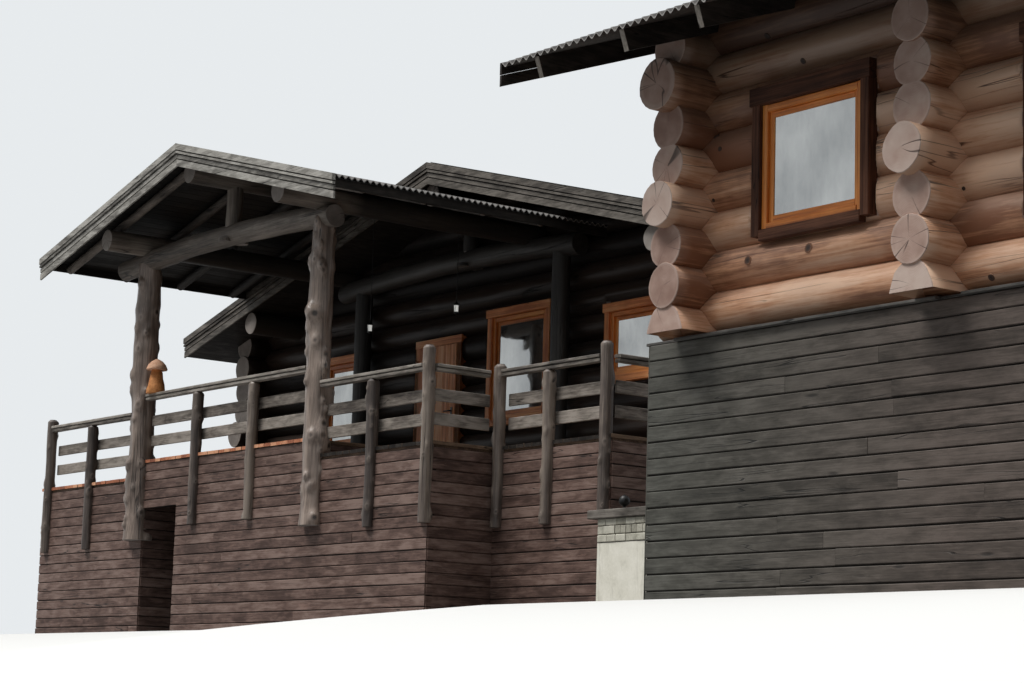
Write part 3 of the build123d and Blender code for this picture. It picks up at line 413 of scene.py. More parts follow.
board = {
    (kind, ax): mat
    for kind, cols, more in (
        ("deck", ("43322c", "655048", "836e65", "19100c"), {"wear": "8c7166", "peel": 1.0}),
        ("house", ("3a3632", "4e4944", "625c57", "1a1816"),
         {"wear": "6a645f", "turn": (4.9, 8.2, (0.92, 1.03, 1.0), (1.05, 0.95, 0.92))}),
        # soffit: near-black boards, a painted shade under the porch roof.
        ("soffit", ("0c0b0a", "131110", "1c1a18", "070606"), {}),
        ("drip", ("3c3a38", "565451", "6f6c68", "1f1d1c"), {}),
        ("guard", ("4a433e", "766e66", "9d948b", "1f1b18"), {}),
        ("grey", ("4d4844", "7b746c", "a39c93", "24201e"), {"wear": "9a938b"}),
        ("floor", ("4a3a2f", "6d5847", "8b745f", "2a2019"), {}),
        # dark: near-black boards, a painted shade for boards under the roofs and deep in the passage.
        ("dark", ("1d1a18", "2c2825", "3f3935", "100e0d"), {"gloss": 0.1}),
        ("edge", ("4f4c48", "85827c", "b3b0a9", "24211f"), {}),
        ("brown", ("2f2b28", "57524c", "7b756e", "1b1816"), {}))
    for ax, mat in timbers(f"{kind}_board", cols, **{
        "fine": 75, "coarse": 12, "knot": 0.75, "crack": 0.5, "long": 3.2, "knot_scale": 5.0, "rough": 0.6,
        "tint": 0.45, "gloss": 0.25, "cloud": 0.4, **more}).items()
}
post_mat = wood("knotty_post", "z", ("463b33", "74655b", "a39286", "1a1310"), fine=60, coarse=10,
                knot=0.0, crack=1.2, rough=0.36, tint=0.4, wear="94857b", bump=0.8, marks="a89a90")
rail_post_mat = wood("rail_post", "z", ("3b332f", "5f544d", "867a6f", "171210"), fine=80, coarse=12,
                     knot=0.0, crack=1.2, rough=0.45, tint=0.7, wear="82766c", bump=0.7, gloss=0.4,
                     marks="998c81")
FRONT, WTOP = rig.box("deck_floor")[0].y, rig.box("window_frames")[1].z
# Beams: painted shade, near black behind the front of the porch.
beam_mat = timbers("beam", ("3b3530", "5f564e", "857b71", "15110f"), fine=60, knot=0.7, crack=1.4,
                   knot_scale=3.5, tint=0.5, wear="756c63", bump=0.8, deep=(FRONT + 0.1, FRONT + 0.5, 0.86))
amber = timbers("amber_frame", ("a65b20", "dd8334", "f6aa57", "5a2c12"), fine=120, coarse=26, knot=0.35,
                crack=0.0, knot_scale=9.0, rough=0.42, tint=0.5, bump=0.2)
# House window casings: painted shade, darker towards the tops of the windows.
casing = timbers("dark_casing", ("33211a", "533629", "75503e", "160d09"), fine=90, coarse=20, knot=0.4,
                 crack=0.5, knot_scale=7.0, rough=0.55, tint=0.4, bump=0.35, gloss=0.12,
                 eaves=(WTOP - 0.06, WTOP + 0.05, 0.5))
russet = timbers("russet_casing", ("b9683a", "e8965a", "fbbd88", "5a3220"), fine=120, coarse=24, knot=0.4,
                 crack=0.4, knot_scale=7.0, rough=0.5, tint=0.5, bump=0.3)
sheet_edge = plain("sheet_cut_edge", ("6a6765", "8e8b88", "aeaba7"), 30, 0.7, 0.1)
sheet_mat = plain("roof_sheet", ("2a2725", "3d3936", "57514c"), 3.0, 0.6, 0.25, stain="6b655f")
iron = plain("black_iron", ("0e0e0e", "1a1a1a", "2a2a2a"), 20, 0.45, 0.2, metal=0.4)
stone = plain("cobble_block", ("8c897c", "aeab9d", "c9c6b8"), 14, 0.85, 0.6)
mortar = plain("mortar", ("4f4c47", "65625c", "7a776f"), 16, 0.9, 0.5)
plank_end = plain("sawn_plank_ends", ("7d4630", "b8714e", "dfa883"), 60, 0.8, 0.3)
mushroom_cap = plain("mushroom_cap", ("a5674a", "d39672", "edbe9d"), 24, 0.8, 0.5)
mushroom_stem = plain("mushroom_stem", ("b8713c", "e29c5c", "f6c592"), 16, 0.75, 0.5)
lamp_glass = plain("lamp_glass", ("c9c8c0", "e2e2dc", "f2f2ee"), 20, 0.15, 0.05, glow=0.4)
concrete = plain("concrete", ("c2bfb1", "e0ddcf", "efece0"), 5, 0.85, 0.3, stain="a09c8c")
glass = glass_mat()


def dress(node, mat):
    """Gives a CAD node a material."""
    nodes[node].data.materials.clear()
    nodes[node].data.materials.append(mat)


# Mesh building

X, Y, Z = (1, 0, 0), (0, 1, 0), (0, 0, 1)


def put(name, data):
    """A new object in the scene."""
    o = bpy.data.objects.new(name, data)
    bpy.context.scene.collection.objects.link(o)
    return o


def circle(around):
    """The angles of points spread evenly round a circle."""
    return np.arange(around) * 2 * math.pi / around


def bands(rings, around):
    """Faces between closed rings of points."""
    return [[i * around + j, i * around + (j + 1) % around,
             (i + 1) * around + (j + 1) % around, (i + 1) * around + j]
            for i in range(rings - 1) for j in range(around)]


def turned_if(flip, faces):
    """Faces turned over where flip is true."""
    return [f[::-1] for f in faces] if flip else faces


def cut(me, clip):
    """Cuts a mesh by planes and closes the cuts."""
    for co, no in clip:
        bm = bmesh.new()
        bm.from_mesh(me)
        bmesh.ops.bisect_plane(bm, geom=bm.verts[:] + bm.edges[:] + bm.faces[:], dist=1e-5,
                               plane_co=co, plane_no=no, clear_outer=True)
        try:
            bmesh.ops.holes_fill(bm, edges=[e for e in bm.edges if e.is_boundary], sides=60)
        except RuntimeError:
            pass
        bm.to_mesh(me)
        bm.free()


class Build:
    """Collects faces for one piece."""

    LOG_END = ((1.0, 0.0), (0.975, 0.006), (0.5, 0.007))

    def __init__(self, name, mats, slot, body="root"):
        self.name, self.mats, self.slot, self.body = name, mats, slot, body
        self.v, self.f, self.mi, self.ti, self.sm, self.uv, self.mk = [], [], [], [], [], [], []

    def add(self, verts, faces, mat=0, tint=0.5, smooth=False, uvs=None, marks=None):
        first = len(self.v)
        self.v.extend(tuple(map(float, p)) for p in verts)
        self.mk.extend([0.0] * (len(self.v) - first) if marks is None else map(float, marks))
        self.add_faces(first, faces, mat, tint, smooth, uvs)

    def add_faces(self, first, faces, mat, tint, smooth, uvs=None):
        """Adds faces whose points are counted from the first."""
        for i, f in enumerate(faces):
            self.f.append([a + first for a in f])
            self.mi.append(mat)
            self.ti.append(tint)
            self.sm.append(smooth)
            self.uv.append(uvs[i] if uvs else [(0.0, 0.0)] * len(f))

    def prism(self, prof, o, du, dv, dl, length, segs=1, mat=0, tint=None, warp=0.0, end_mat=None):
        """A closed profile of (u, v) points, run along dl from o."""
        tint = rng.random() if tint is None else tint
        o, du, dv, dl, prof = (np.array(a, float) for a in (o, du, dv, dl, prof))
        n = len(prof)
        bow = rng.normal(0, warp, (segs + 1, 2)) if warp else np.zeros((segs + 1, 2))
        rings = [o + dl * length * i / segs + np.outer(prof[:, 0] + bow[i, 0], du)
                 + np.outer(prof[:, 1] + bow[i, 1], dv) for i in range(segs + 1)]
        u, v = prof.T
        clockwise = np.sum(u * np.roll(v, -1) - np.roll(u, -1) * v) < 0
        flip = (np.dot(np.cross(du, dv), dl) < 0) != clockwise
        first = len(self.v)
        self.add(np.concatenate(rings), turned_if(flip, bands(segs + 1, n)), mat, tint)
        caps = turned_if(flip, [list(range(n))[::-1], [segs * n + j for j in range(n)]])
        uvs = [[tuple(prof[j % n]) for j in c] for c in caps]
        self.add_faces(first, caps, mat if end_mat is None else end_mat, tint, False, uvs)

    def plank(self, lo, hi, axis, segs=None, ch=0.004, warp=0.0012, mat=0, tint=None, end_mat=None):
        """A board between two corners, with eased edges, along an axis."""
        k = "xyz".index(axis)
        a, b = (k + 1) % 3, (k + 2) % 3
        size = [hi[i] - lo[i] for i in range(3)]
        w, t = size[a], size[b]
        ch = min(ch, w * 0.3, t * 0.3)
        prof = [(ch, 0), (w - ch, 0), (w, ch), (w, t - ch), (w - ch, t), (ch, t), (0, t - ch), (0, ch)]
        unit = np.eye(3)
        segs = segs or max(1, int(size[k] / 1.2))
        self.prism(prof, lo, unit[a], unit[b], unit[k], size[k], segs, mat, tint, warp, end_mat)

    def tube(self, pts, rad, a, b, around, mat=0, cap=1, caps=(True, True), marks=None):
        """A round log along pts. rad is a number or an array of (points, around)."""
        tint = rng.random()
        pts, a, b = (np.array(p, float) for p in (pts, a, b))
        n = len(pts)
        rad = np.broadcast_to(np.array(rad, float), (n, around))
        th = circle(around)
        ring = np.cos(th)[:, None] * a + np.sin(th)[:, None] * b
        verts = (pts[:, None, :] + rad[:, :, None] * ring[None]).reshape(-1, 3)
        flip = np.dot(np.cross(a, b), pts[-1] - pts[0]) < 0
        self.add(verts, turned_if(flip, bands(n, around)), mat, tint, True, marks=marks)
        last = len(self.LOG_END) * around
        fan = [[last - around + j, last - around + (j + 1) % around, last] for j in range(around)]
        for side, inner, on in ((0, 1, caps[0]), (n - 1, n - 2, caps[1])):
            if not on:
                continue
            d = pts[inner] - pts[side]
            d = d / np.linalg.norm(d)
            vs, loc = [], []
            for s, out in self.LOG_END:
                r = rad[side] * s
                vs.extend(pts[side] + r[:, None] * ring - d * out)
                loc.extend(zip(np.cos(th) * r, np.sin(th) * r))
            vs.append(pts[side] - d * self.LOG_END[-1][1])
            loc.append((0, 0))
            fs = turned_if((side == 0) != flip, bands(len(self.LOG_END), around) + fan)
            self.add(vs, fs, cap, tint, False, [[loc[i] for i in f] for f in fs])

    def make(self, *replaced, clip=()):
        me = bpy.data.meshes.new(self.name)
        me.from_pydata(self.v, [], self.f)
        for name, where, values in (("tint", "FACE", self.ti), ("mark", "POINT", self.mk)):
            own = me.attributes.new(name, "FLOAT", where)
            own.data.foreach_set("value", np.array(values, np.float32))
        uv = me.uv_layers.new(name="UVMap")
        uv.data.foreach_set("uv", np.array([c for f in self.uv for p in f for c in p], np.float32))
        me.polygons.foreach_set("material_index", np.array(self.mi, np.int32))
        me.polygons.foreach_set("use_smooth", np.array(self.sm, bool))
        for m in self.mats:
            me.materials.append(m)
        cut(me, clip)
        me.update()
        o = put(self.name, me)
        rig.ride(o, self.body)
        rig.slot(o, self.slot)
        if replaced:
            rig.replaces(o, *replaced)


def islands(node):
    """Boxes of a CAD node's separate solids."""
    bm = bmesh.new()
    bm.from_mesh(nodes[node].data)
    bmesh.ops.remove_doubles(bm, verts=bm.verts, dist=2e-5)
    seen, out = set(), []
    bm.verts.ensure_lookup_table()
    for v in bm.verts:
        if v.index in seen:
            continue
        stack, comp = [v], []
        seen.add(v.index)
        while stack:
            w = stack.pop()
            comp.append(w.co[:])
            for e in w.link_edges:
                x = e.other_vert(w)
                if x.index not in seen:
                    seen.add(x.index)
                    stack.append(x)
        c = np.array(comp)
        out.append((c.min(0), c.max(0)))
    bm.free()
    return out


def ordered(node, k):
    """The boxes of a node's solids in their order along axis k."""
    return sorted(islands(node), key=lambda q: q[0][k])


def wobble(pts, around, r, amount, seed, along, knots, every, size):
    """Radii of a hand-peeled log: slow swelling, flats, and knots that stand out. The second
    result marks the knots for the material."""
    th = circle(around)
    s = np.concatenate([[0], np.cumsum(np.linalg.norm(np.diff(pts, axis=0), axis=1))])
    out, mark = np.empty((len(pts), around)), np.zeros((len(pts), around))
    for i, x in enumerate(s):
        for j, t in enumerate(th):
            q = Vector((x * along + seed * 7.3, math.cos(t) * 1.1 + seed, math.sin(t) * 1.1))
            out[i, j] = r * (1 + amount * (noise.noise(q) * 1.3 + noise.noise(q * 2.3) * 0.6))
    g = np.random.default_rng(int(seed * 1000) + 3)
    for _ in range(int(s[-1] / every) + 1):
        at, where = g.uniform(0, s[-1]), g.uniform(0, 2 * math.pi)
        w, h = g.uniform(0.6, 1.4) * size, g.uniform(0.35, 1.0) * knots
        d = np.angle(np.exp(1j * (th - where))) * r
        dist2 = (((s - at) / 1.35)[:, None] ** 2 + d[None] ** 2) / w ** 2
        out += h * np.exp(-dist2 * 0.5) - 0.5 * h * np.exp(-dist2 * 4.5)
        mark = np.maximum(mark, np.exp(-dist2 * 1.4) * g.uniform(0.55, 1.0))
    return out, mark.reshape(-1)


class Opening:
    """A window: the axis it lies along, its sides, its heights and the wall's outer face."""

    HOUSE_FROM = 4.0
    MIDDLES = ((-5.8, 3.0), (8.0, -1.7))

    def __init__(self, lo, hi):
        self.k = 0 if hi[0] - lo[0] > hi[1] - lo[1] else 1
        c = 1 - self.k
        mid = (lo + hi) / 2
        self.house = bool(mid[0] > self.HOUSE_FROM)
        middle = self.MIDDLES[self.house][c]
        self.out = -1 if mid[c] < middle else 1
        self.face = lo[c] if self.out < 0 else hi[c]
        self.line = self.face - self.out * R
        self.u0, self.u1, self.z0, self.z1 = lo[self.k], hi[self.k], lo[2], hi[2]


# House and wing logs: height of a course, radius and points round; the hewn face round a window
# reaches past the opening by CASING, ABOVE and BELOW, HEWN deep, and runs out over the last of BEVEL
COURSE, R, AROUND = 0.343, 0.195, 22
CASING, HEWN = 0.098, 0.07
ABOVE, BELOW = 0.16, 0.08
BEVEL = (0, 0.018, 0.022, 0.028, 0.038, 0.055, 0.08, 0.105)
seeds = itertools.count(1)
WINDOWS = [Opening(lo, hi) for lo, hi in islands("window_frames")]


def wobble_at(u, r, amount, s, knots):
    """The radii of a peeled log at places along it, with a few knots left standing."""
    th = circle(AROUND)
    out, mark = np.empty((len(u), AROUND)), np.zeros((len(u), AROUND))
    for i, x in enumerate(u):
        for j, t in enumerate(th):
            q = Vector((x * 0.9 + s * 7.3, math.cos(t) * 0.9 + s * 3.1, math.sin(t) * 0.9))
            out[i, j] = r * (1 + amount * (noise.noise(q) + 0.5 * noise.noise(q * 2.7)))
    g = np.random.default_rng(s + 11)
    for _ in range(g.integers(0, 3) + knots):
        at, where = g.uniform(u[0], u[-1]), g.uniform(0, 2 * math.pi)
        d = np.angle(np.exp(1j * (th - where))) * r
        dist2 = (((u - at) / 1.5)[:, None] ** 2 + d[None] ** 2) / 0.055 ** 2
        out += 0.014 * np.exp(-dist2 * 0.5) - 0.024 * np.exp(-dist2 * 6)
        mark = np.maximum(mark, np.exp(-dist2 * 2.5))
    return np.minimum(out, R + 0.012), mark.reshape(-1)


def beside(w, u):
    """Whether a place along a log is on the shoulder beside a window."""
    left, right = w.u0 - CASING, w.u1 + CASING
    return left - 0.04 < u < left + 0.001 or right - 0.001 < u < right + 0.04


def stubs(b, spots, k, pts, rad, face):
    """Knots: branches sawn off close to a log, on its outer side."""
    flat, out = np.eye(3)[k], np.eye(3)[1 - k]
    u = pts[:, k]
    for at, turn, size in spots:
        if not u[0] < at < u[-1]:
            continue
        i = int(np.argmin(np.abs(u - at)))
        j = round((turn if face > 0 else math.pi - turn) / (2 * math.pi) * AROUND) % AROUND
        way = out * face * math.cos(turn) + np.array((0, 0, math.sin(turn)))
        core = np.array(pts[i])
        core[k] = at
        b.tube([core + way * R * 0.8, core + way * (rad[i, j] - 0.002)], size, flat, np.cross(flat, way),
               12, mat=0, cap=2, caps=(False, True))


def log_wall(node, axis, first, kind, trims, big_end=None):
    """Replaces a log wall with hand-peeled logs in the same places, hewn flat round its windows."""
    k = "xyz".index(axis)
    c = 1 - k
    b = Build(node + "_peeled", [log_mats[kind][axis], log_ends[kind], house_knot], "logs")
    found = [(lo, hi) for lo, hi in islands(node) if hi[2] - lo[2] > 0.06]
    line = float(np.median([(lo[c] + hi[c]) / 2 for lo, hi in found]))
    middle = ((HX0 + HX1) / 2, HRY)[c]
    outer = kind == "house" and abs(line - middle) > 2
    holes = [w for w in WINDOWS if w.k == k and abs(w.line - line) < 0.3]
    for lo, hi in sorted(found, key=lambda q: (round(q[0][2], 2), q[0][k])):
        course = round(((lo[2] + hi[2]) / 2 - first) / COURSE)
        level = first + course * COURSE
        seed = next(seeds)
        start, end = lo[k] + 0.004, hi[k] - 0.004
        near = [w for w in holes if w.z0 - 0.07 - R < level < w.z1 + ABOVE + R]
        swollen = big_end and course == big_end[0]
        if swollen:
            start -= big_end[1]
        u = list(np.linspace(start, end, max(3, int((end - start) / 0.15) + 1)))
        for w in near:
            for e, s in ((w.u0, -1), (w.u1, 1)):
                u += [e + s * (CASING + d) for d in BEVEL] + [e - 0.0006, e + 0.0006]
        u = np.unique(np.round([x for x in u if start <= x <= end], 4))
        pts = np.zeros((len(u), 3))
        pts[:, k], pts[:, c], pts[:, 2] = u, line, level
        rad, mark = wobble_at(u, R, 0.05, seed, 3 if course == 1 else 0)
        if swollen:
            rad *= 1 + big_end[2] * np.clip((lo[k] + 1.1 - u) / 1.1, 0, 1)[:, None] ** 0.7
        n0, f0, hewn = len(b.v), len(b.f), set()
        b.tube(pts, rad, (X, Y)[c], Z, AROUND, marks=mark)
        if outer:
            g = np.random.default_rng(seed + 900)
            spots = [(g.uniform(lo[k] + 0.5, hi[k] - 0.5), g.uniform(-0.9, 0.9), g.uniform(0.016, 0.032))
                     for _ in range(g.integers(1, 4))] if hi[k] - lo[k] > 1.2 else []
            if course != 1:
                spots = [q for q in spots if not any(w.u0 - 0.3 < q[0] < w.u1 + 0.3 for w in near)]
            elif node == "house_front_logs":
                spots = [(6.0, 0.1, 0.04), (6.7, 0.15, 0.043), (9.3, 0.05, 0.036)]
            stubs(b, spots, k, pts, rad, 1 if line > middle else -1)
        foot = axis == "y" and course == 0
        if not near and not foot:
            continue
        for i in range(n0, len(b.v)):
            p = list(b.v[i])
            if foot:
                low = min(1.0, max(0.0, (level + 0.05 - p[2]) / 0.095))
                p[c] = line + (p[c] - line) * (1 + 0.22 * low ** 1.5)
            for w in near:
                if w.u0 < p[k] < w.u1 and w.z0 < p[2] < w.z1:
                    p[2] = w.z0 - 0.001 if level < (w.z0 + w.z1) / 2 else w.z1 + 0.001
                gap = max(w.u0 - CASING - p[k], p[k] - w.u1 - CASING, w.z0 - BELOW - p[2],
                          p[2] - w.z1 - ABOVE, 0.0)
                share = min(1.0, max(0.0, (gap - 0.018) / 0.087))
                most = (HEWN + 0.015) * math.sqrt(1 - (1 - share) ** 2) - HEWN
                if gap < BEVEL[-1] and (p[c] - w.face) * w.out > most:
                    p[c] = w.face + w.out * most
                    if gap < 0.042:
                        hewn.add(i)
            b.v[i] = tuple(p)
        for j, face in enumerate(b.f[f0:], f0):
            at = sum(b.v[i][k] for i in face) / len(face)
            if all(i in hewn for i in face) and any(beside(w, at) for w in near):
                b.mi[j], b.sm[j] = 1, False
    b.make(node, clip=trims)


# Places, in metres, as in the part

lo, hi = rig.box("house_basement_front")
HX0, HX1, HY0, HY1 = lo.x, hi.x, lo.y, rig.box("house_basement_back")[1].y
lo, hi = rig.box("wing_floor")
WX0, WX1, WY0, WY1, DZ = lo.x, hi.x, lo.y, hi.y, hi.z
DY0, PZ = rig.box("deck_floor")[0].y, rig.box("deck_floor")[1].z
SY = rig.box("deck_wall_step")[0].y
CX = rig.box("deck_wall_right")[1].x
PL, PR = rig.box("deck_wall_left")[1].x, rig.box("deck_wall_right")[0].x
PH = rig.box("deck_wall_over_passage")[0].z
HB = 2.25
SLOPE = math.radians(20)
t20, t15 = math.tan(SLOPE), math.tan(math.radians(15))
HRY = (HY0 + HY1) / 2
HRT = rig.box("house_roof_front")[1].z
WRX = (WX0 + WX1) / 2
WRT = DZ + 4.32
BL, BR = next((lo[0], hi[0]) for lo, hi in islands("deck_rail_front")
              if lo[2] > DZ + 0.95 and hi[2] - lo[2] < 0.06)
PB = WY0 - 1.16
PRX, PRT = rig.box("porch_roof_left")[1].x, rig.box("porch_roof_left")[1].z


def roof_planes(x, y, slope_x, slope_y, top, foot):
    """Planes that cut logs to a roof's two slopes and level at the foot."""
    return [((x, y, top - 0.002), Vector((s * slope_x, s * slope_y, 1)).normalized()) for s in (1, -1)] + [
        ((0, 0, foot), Vector((0, 0, -1)))]


house_trims = roof_planes(0, HRY, 0, t20, HRT - 0.045, HB + 0.026)
wing_trims = roof_planes(WRX, 0, t15, 0, WRT - 0.28, DZ + 0.001)
house_first, wing_first = HB + 0.215, DZ + 0.19
CROSS = 0.145

for n in ("house_front_logs", "house_back_logs"):
    log_wall(n, "x", house_first, "house", house_trims)
log_wall("house_left_logs", "y", house_first - CROSS, "house", house_trims, (6, 0.11, 0.17))
for n in ("house_cross_logs", "house_right_logs"):
    log_wall(n, "y", house_first - CROSS, "house", house_trims)
for n in ("wing_front_logs_left", "wing_front_logs_right", "wing_front_logs_over_door", "wing_back_logs"):
    log_wall(n, "x", wing_first, "wing", wing_trims)
for n in ("wing_left_logs", "wing_right_logs"):
    log_wall(n, "y", wing_first - CROSS, "wing", wing_trims)


# Board cladding

# Half a gap between rows and between ends, and how far boards go into and stand off the wall
JOINT, BUTT = 0.0055, 0.0006
SUNK, PROUD = 0.006, 0.015


def clad(name, kind, face, along, a0, a1, z0, z1, pitch, out, hole=None):
    """Horizontal boards on a wall. face is the wall's place across, out its outward sign."""
    b = Build(name, [board[kind, along]], "boards")
    rows = max(1, round((z1 - z0) / pitch))
    p = (z1 - z0) / rows
    back, front = sorted((face - out * SUNK, face + out * PROUD))
    for i in range(rows):
        za, zb = z0 + i * p + JOINT, z0 + (i + 1) * p - JOINT
        cuts = [a0]
        x = a0 + rng.uniform(1.2, 5.5)
        while x < a1 - 0.9:
            cuts.append(x)
            x += rng.uniform(4.4, 6.6)
        cuts.append(a1)
        for a, c in zip(cuts[:-1], cuts[1:]):
            tint = rng.random()
            parts = [(a + BUTT, c - BUTT, za, zb)]
            if hole and za < hole[2]:
                h0, h1, top = hole
                s, e = parts[0][:2]
                parts = [(s, min(e, h0), za, zb), (max(s, h1), e, za, zb)]
                if zb > top + 0.01 and e > h0 and s < h1:
                    parts.append((max(s, h0), min(e, h1), top, zb))
            for s, e, q0, q1 in parts:
                if e - s <= 0.01:
                    continue
                tip = rng.normal(0, 0.0014)
                lo, hi = (s, back + tip, q0), (e, front + tip, q1)
                if along == "y":
                    lo, hi = (lo[1], s, q0), (hi[1], e, q1)
                b.plank(lo, hi, along, warp=0.0016, ch=0.007, tint=tint)
    b.make()


PITCH = 0.132
DB = DZ - 0.0603
FOOT, RISE = DZ + 0.013, PZ - 0.033
clad("deck_front_boards", "deck", DY0, "x", WX0, CX, 0.0, DB, PITCH, -1, (PL, PR, PH))
clad("platform_front_boards", "deck", DY0, "x", BL, BR, DB, RISE, PITCH, -1)
clad("platform_back_boards", "deck", PB, "x", BL, BR, FOOT, RISE, 0.1, 1)
for side, x, out in (("left", BL, -1), ("right", BR, 1)):
    clad(f"platform_{side}_boards", "deck", x, "y", DY0 + 0.1, PB, FOOT, RISE, 0.1, out)
for name, kind, face, along, a0, a1, out in (
        ("deck_return_boards", "deck", CX, "y", DY0, SY, 1),
        ("deck_step_boards", "deck", SY, "x", CX, WX1, -1),
        ("deck_right_boards", "deck", WX1, "y", SY, WY1, 1),
        ("deck_left_boards", "deck", WX0, "y", DY0, WY1, -1),
        ("wing_back_boards", "deck", WY1, "x", WX0, WX1, 1),
        ("passage_boards", "deck", PL, "y", DY0 + 0.002, DY0 + 0.5, 1),
        # Boards deeper in the passage and at its end take the near-black boards: painted shade.
        ("passage_boards_inner", "dark", PL, "y", DY0 + 0.501, WY0, 1),
        ("passage_end_boards", "dark", WY0, "x", PL + 0.03, CX - 0.1, -1)):
    clad(name, kind, face, along, a0, a1, 0.0, DB, PITCH, out)
for side, face, along, a0, a1, out in (("front", HY0, "x", HX0, HX1, -1), ("back", HY1, "x", HX0, HX1, 1),
                                       ("left", HX0, "y", HY0, HY1, -1), ("right", HX1, "y", HY0, HY1, 1)):
    clad(f"house_{side}_boards", "house", face, along, a0, a1, 0.0, HB, 0.1385, out)

TRIM = 0.016
corner = Build("corner_trims", [board["house", "z"]], "boards")
for x, y, sx, sy in ((HX0, HY0, -1, -1), (HX1, HY0, 1, -1), (HX0, HY1, -1, 1), (HX1, HY1, 1, 1)):
    xs, ys = sorted((x, x + sx * TRIM)), sorted((y, y + sy * TRIM))
    corner.plank((xs[0], ys[0], 0), (xs[1], ys[1], HB), "z")
corner.make()

GAP, THICK, PROUD_TOP = 0.003, 0.032, 0.01
floor_b = Build("deck_planks", [board["floor", "y"], plank_end, board["dark", "y"]], "floor_boards")
for x0, x1, y0, y1, z in ((WX0 - 0.02, BL - 0.003, DY0, WY0, DZ), (BL, BR, PB + 0.016, WY0, DZ),
                          (BL - 0.012, BR + 0.012, DY0, PB + 0.03, PZ), (BR + 0.003, CX + 0.02, DY0, WY0, DZ),
                          (CX + 0.023, WX1 + 0.02, SY, WY0, DZ)):
    m = round((x1 - x0) / 0.142)
    w = (x1 - x0) / m
    for i in range(m):
        front = y0 - 0.03 + rng.normal(0, 0.003) if y0 in (DY0, SY) else y0
        # Plank ends right of the platform take the near-black boards: painted shade.
        floor_b.plank((x0 + i * w + GAP, front, z - THICK),
                      (x0 + (i + 1) * w - GAP, y1 - 0.004, z + PROUD_TOP), "y", warp=0.0008,
                      end_mat=1 if x1 < BR + 0.05 else 2)
floor_b.make()

drip = Build("drip_flashing", [board["drip", "x"], board["drip", "y"]], "weathered_boards")
lo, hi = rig.box("house_drip_boards")
cross = sum(q.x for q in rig.box("house_cross_logs")) / 2
nose = HY0 - 0.002
for x0, x1, y0, y1, ax in ((lo.x, hi.x, nose, lo.y + 0.42, "x"),
                           (HX0 + 0.36, cross - 0.02, lo.y, nose - 0.001, "x"),
                           (cross + 0.24, HX1 - 0.36, lo.y, nose - 0.001, "x"),
                           (lo.x, hi.x, hi.y - 0.42, hi.y, "x"),
                           (lo.x, lo.x + 0.8, lo.y + 0.421, hi.y - 0.421, "y"),
                           (hi.x - 0.8, hi.x, lo.y + 0.421, hi.y - 0.421, "y")):
    drip.plank((x0, y0, lo.z), (x1, y1, hi.z), ax, mat="xy".index(ax), warp=0)
drip.make("house_drip_boards")


# Roofs

SHEET_ROWS, SHEET_STEPS, SHEET_THICK = 5, 8, 0.006


def sheet(name, node, across, side, ridge, top, t, wave, amp, cut=None, front=None, stands=True):
    """Corrugated sheet on a slope that falls along the axis across. Past cut[0] the sheet starts
    cut[1] away from the ridge. It begins at front, and stands for the node or lies over it."""
    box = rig.box(node)
    lo, hi = front or box[0][1 - across] + 0.002, box[1][1 - across] - 0.002
    L = abs(box[side > 0][across] - ridge)
    b = Build(name, [sheet_mat, sheet_edge], "roof_sheet")
    flip = (side > 0) == (across == 0)
    for u0, u1, d0 in ((lo, hi, 0.0),) if cut is None else ((lo, cut[0], 0.0), (cut[0], hi, cut[1])):
        us = np.linspace(u0, u1, int((u1 - u0) / wave * SHEET_STEPS) + 1)
        wv = np.cos((us - lo) / wave * 2 * math.pi) * amp
        grids = []
        for drop in (0.0, SHEET_THICK):
            for i in range(SHEET_ROWS + 1):
                d = d0 + (L - d0) * i / SHEET_ROWS
                p = np.zeros((len(us), 3))
                p[:, across] = ridge + side * d
                p[:, 1 - across] = us
                p[:, 2] = top - d * t - amp - 0.001 + wv - drop - (drop if i == SHEET_ROWS else 0)
                grids.append(p)
        n = len(us)
        off = (SHEET_ROWS + 1) * n
        f = []
        for i in range(SHEET_ROWS):
            for j in range(n - 1):
                q = [i * n + j, i * n + j + 1, (i + 1) * n + j + 1, (i + 1) * n + j]
                f += turned_if(flip, [q]) + turned_if(not flip, [[a + off for a in q]])
        v = np.concatenate(grids)
        b.add(v, f, 0, 0.5, True)
        end = [SHEET_ROWS * n + j for j in range(n)]
        q = [[j, j + 1, n + j + 1, n + j] for j in range(n - 1)]
        b.add(np.concatenate([v[end], v[[e + off for e in end]]]), turned_if(not flip, q), 1)
    b.make(*([node] if stands else []))


def boarding(name, ridge, eave, lo, hi, start=0.0):
    """Boards under a slope of the porch roof, laid along the ridge, seen from below."""
    side = 1 if eave > ridge else -1
    L = abs(eave - ridge)
    # Near-black soffit boards: painted shade under the porch roof.
    b = Build(name, [board["soffit", "y"]], "weathered_boards")
    m = int((L - start) / 0.14)
    for i in range(m):
        d0, d1 = (start + (L - start) * j / m + g for j, g in ((i, 0.003), (i + 1, -0.003)))
        prof = [(side * d0, -d0 * t15), (side * d1, -d1 * t15), (side * d1, -d1 * t15 + 0.014),
                (side * d0, -d0 * t15 + 0.014)]
        b.prism(prof, (ridge, lo, PRT - 0.059), X, Z, Y, hi - lo)
    b.make()


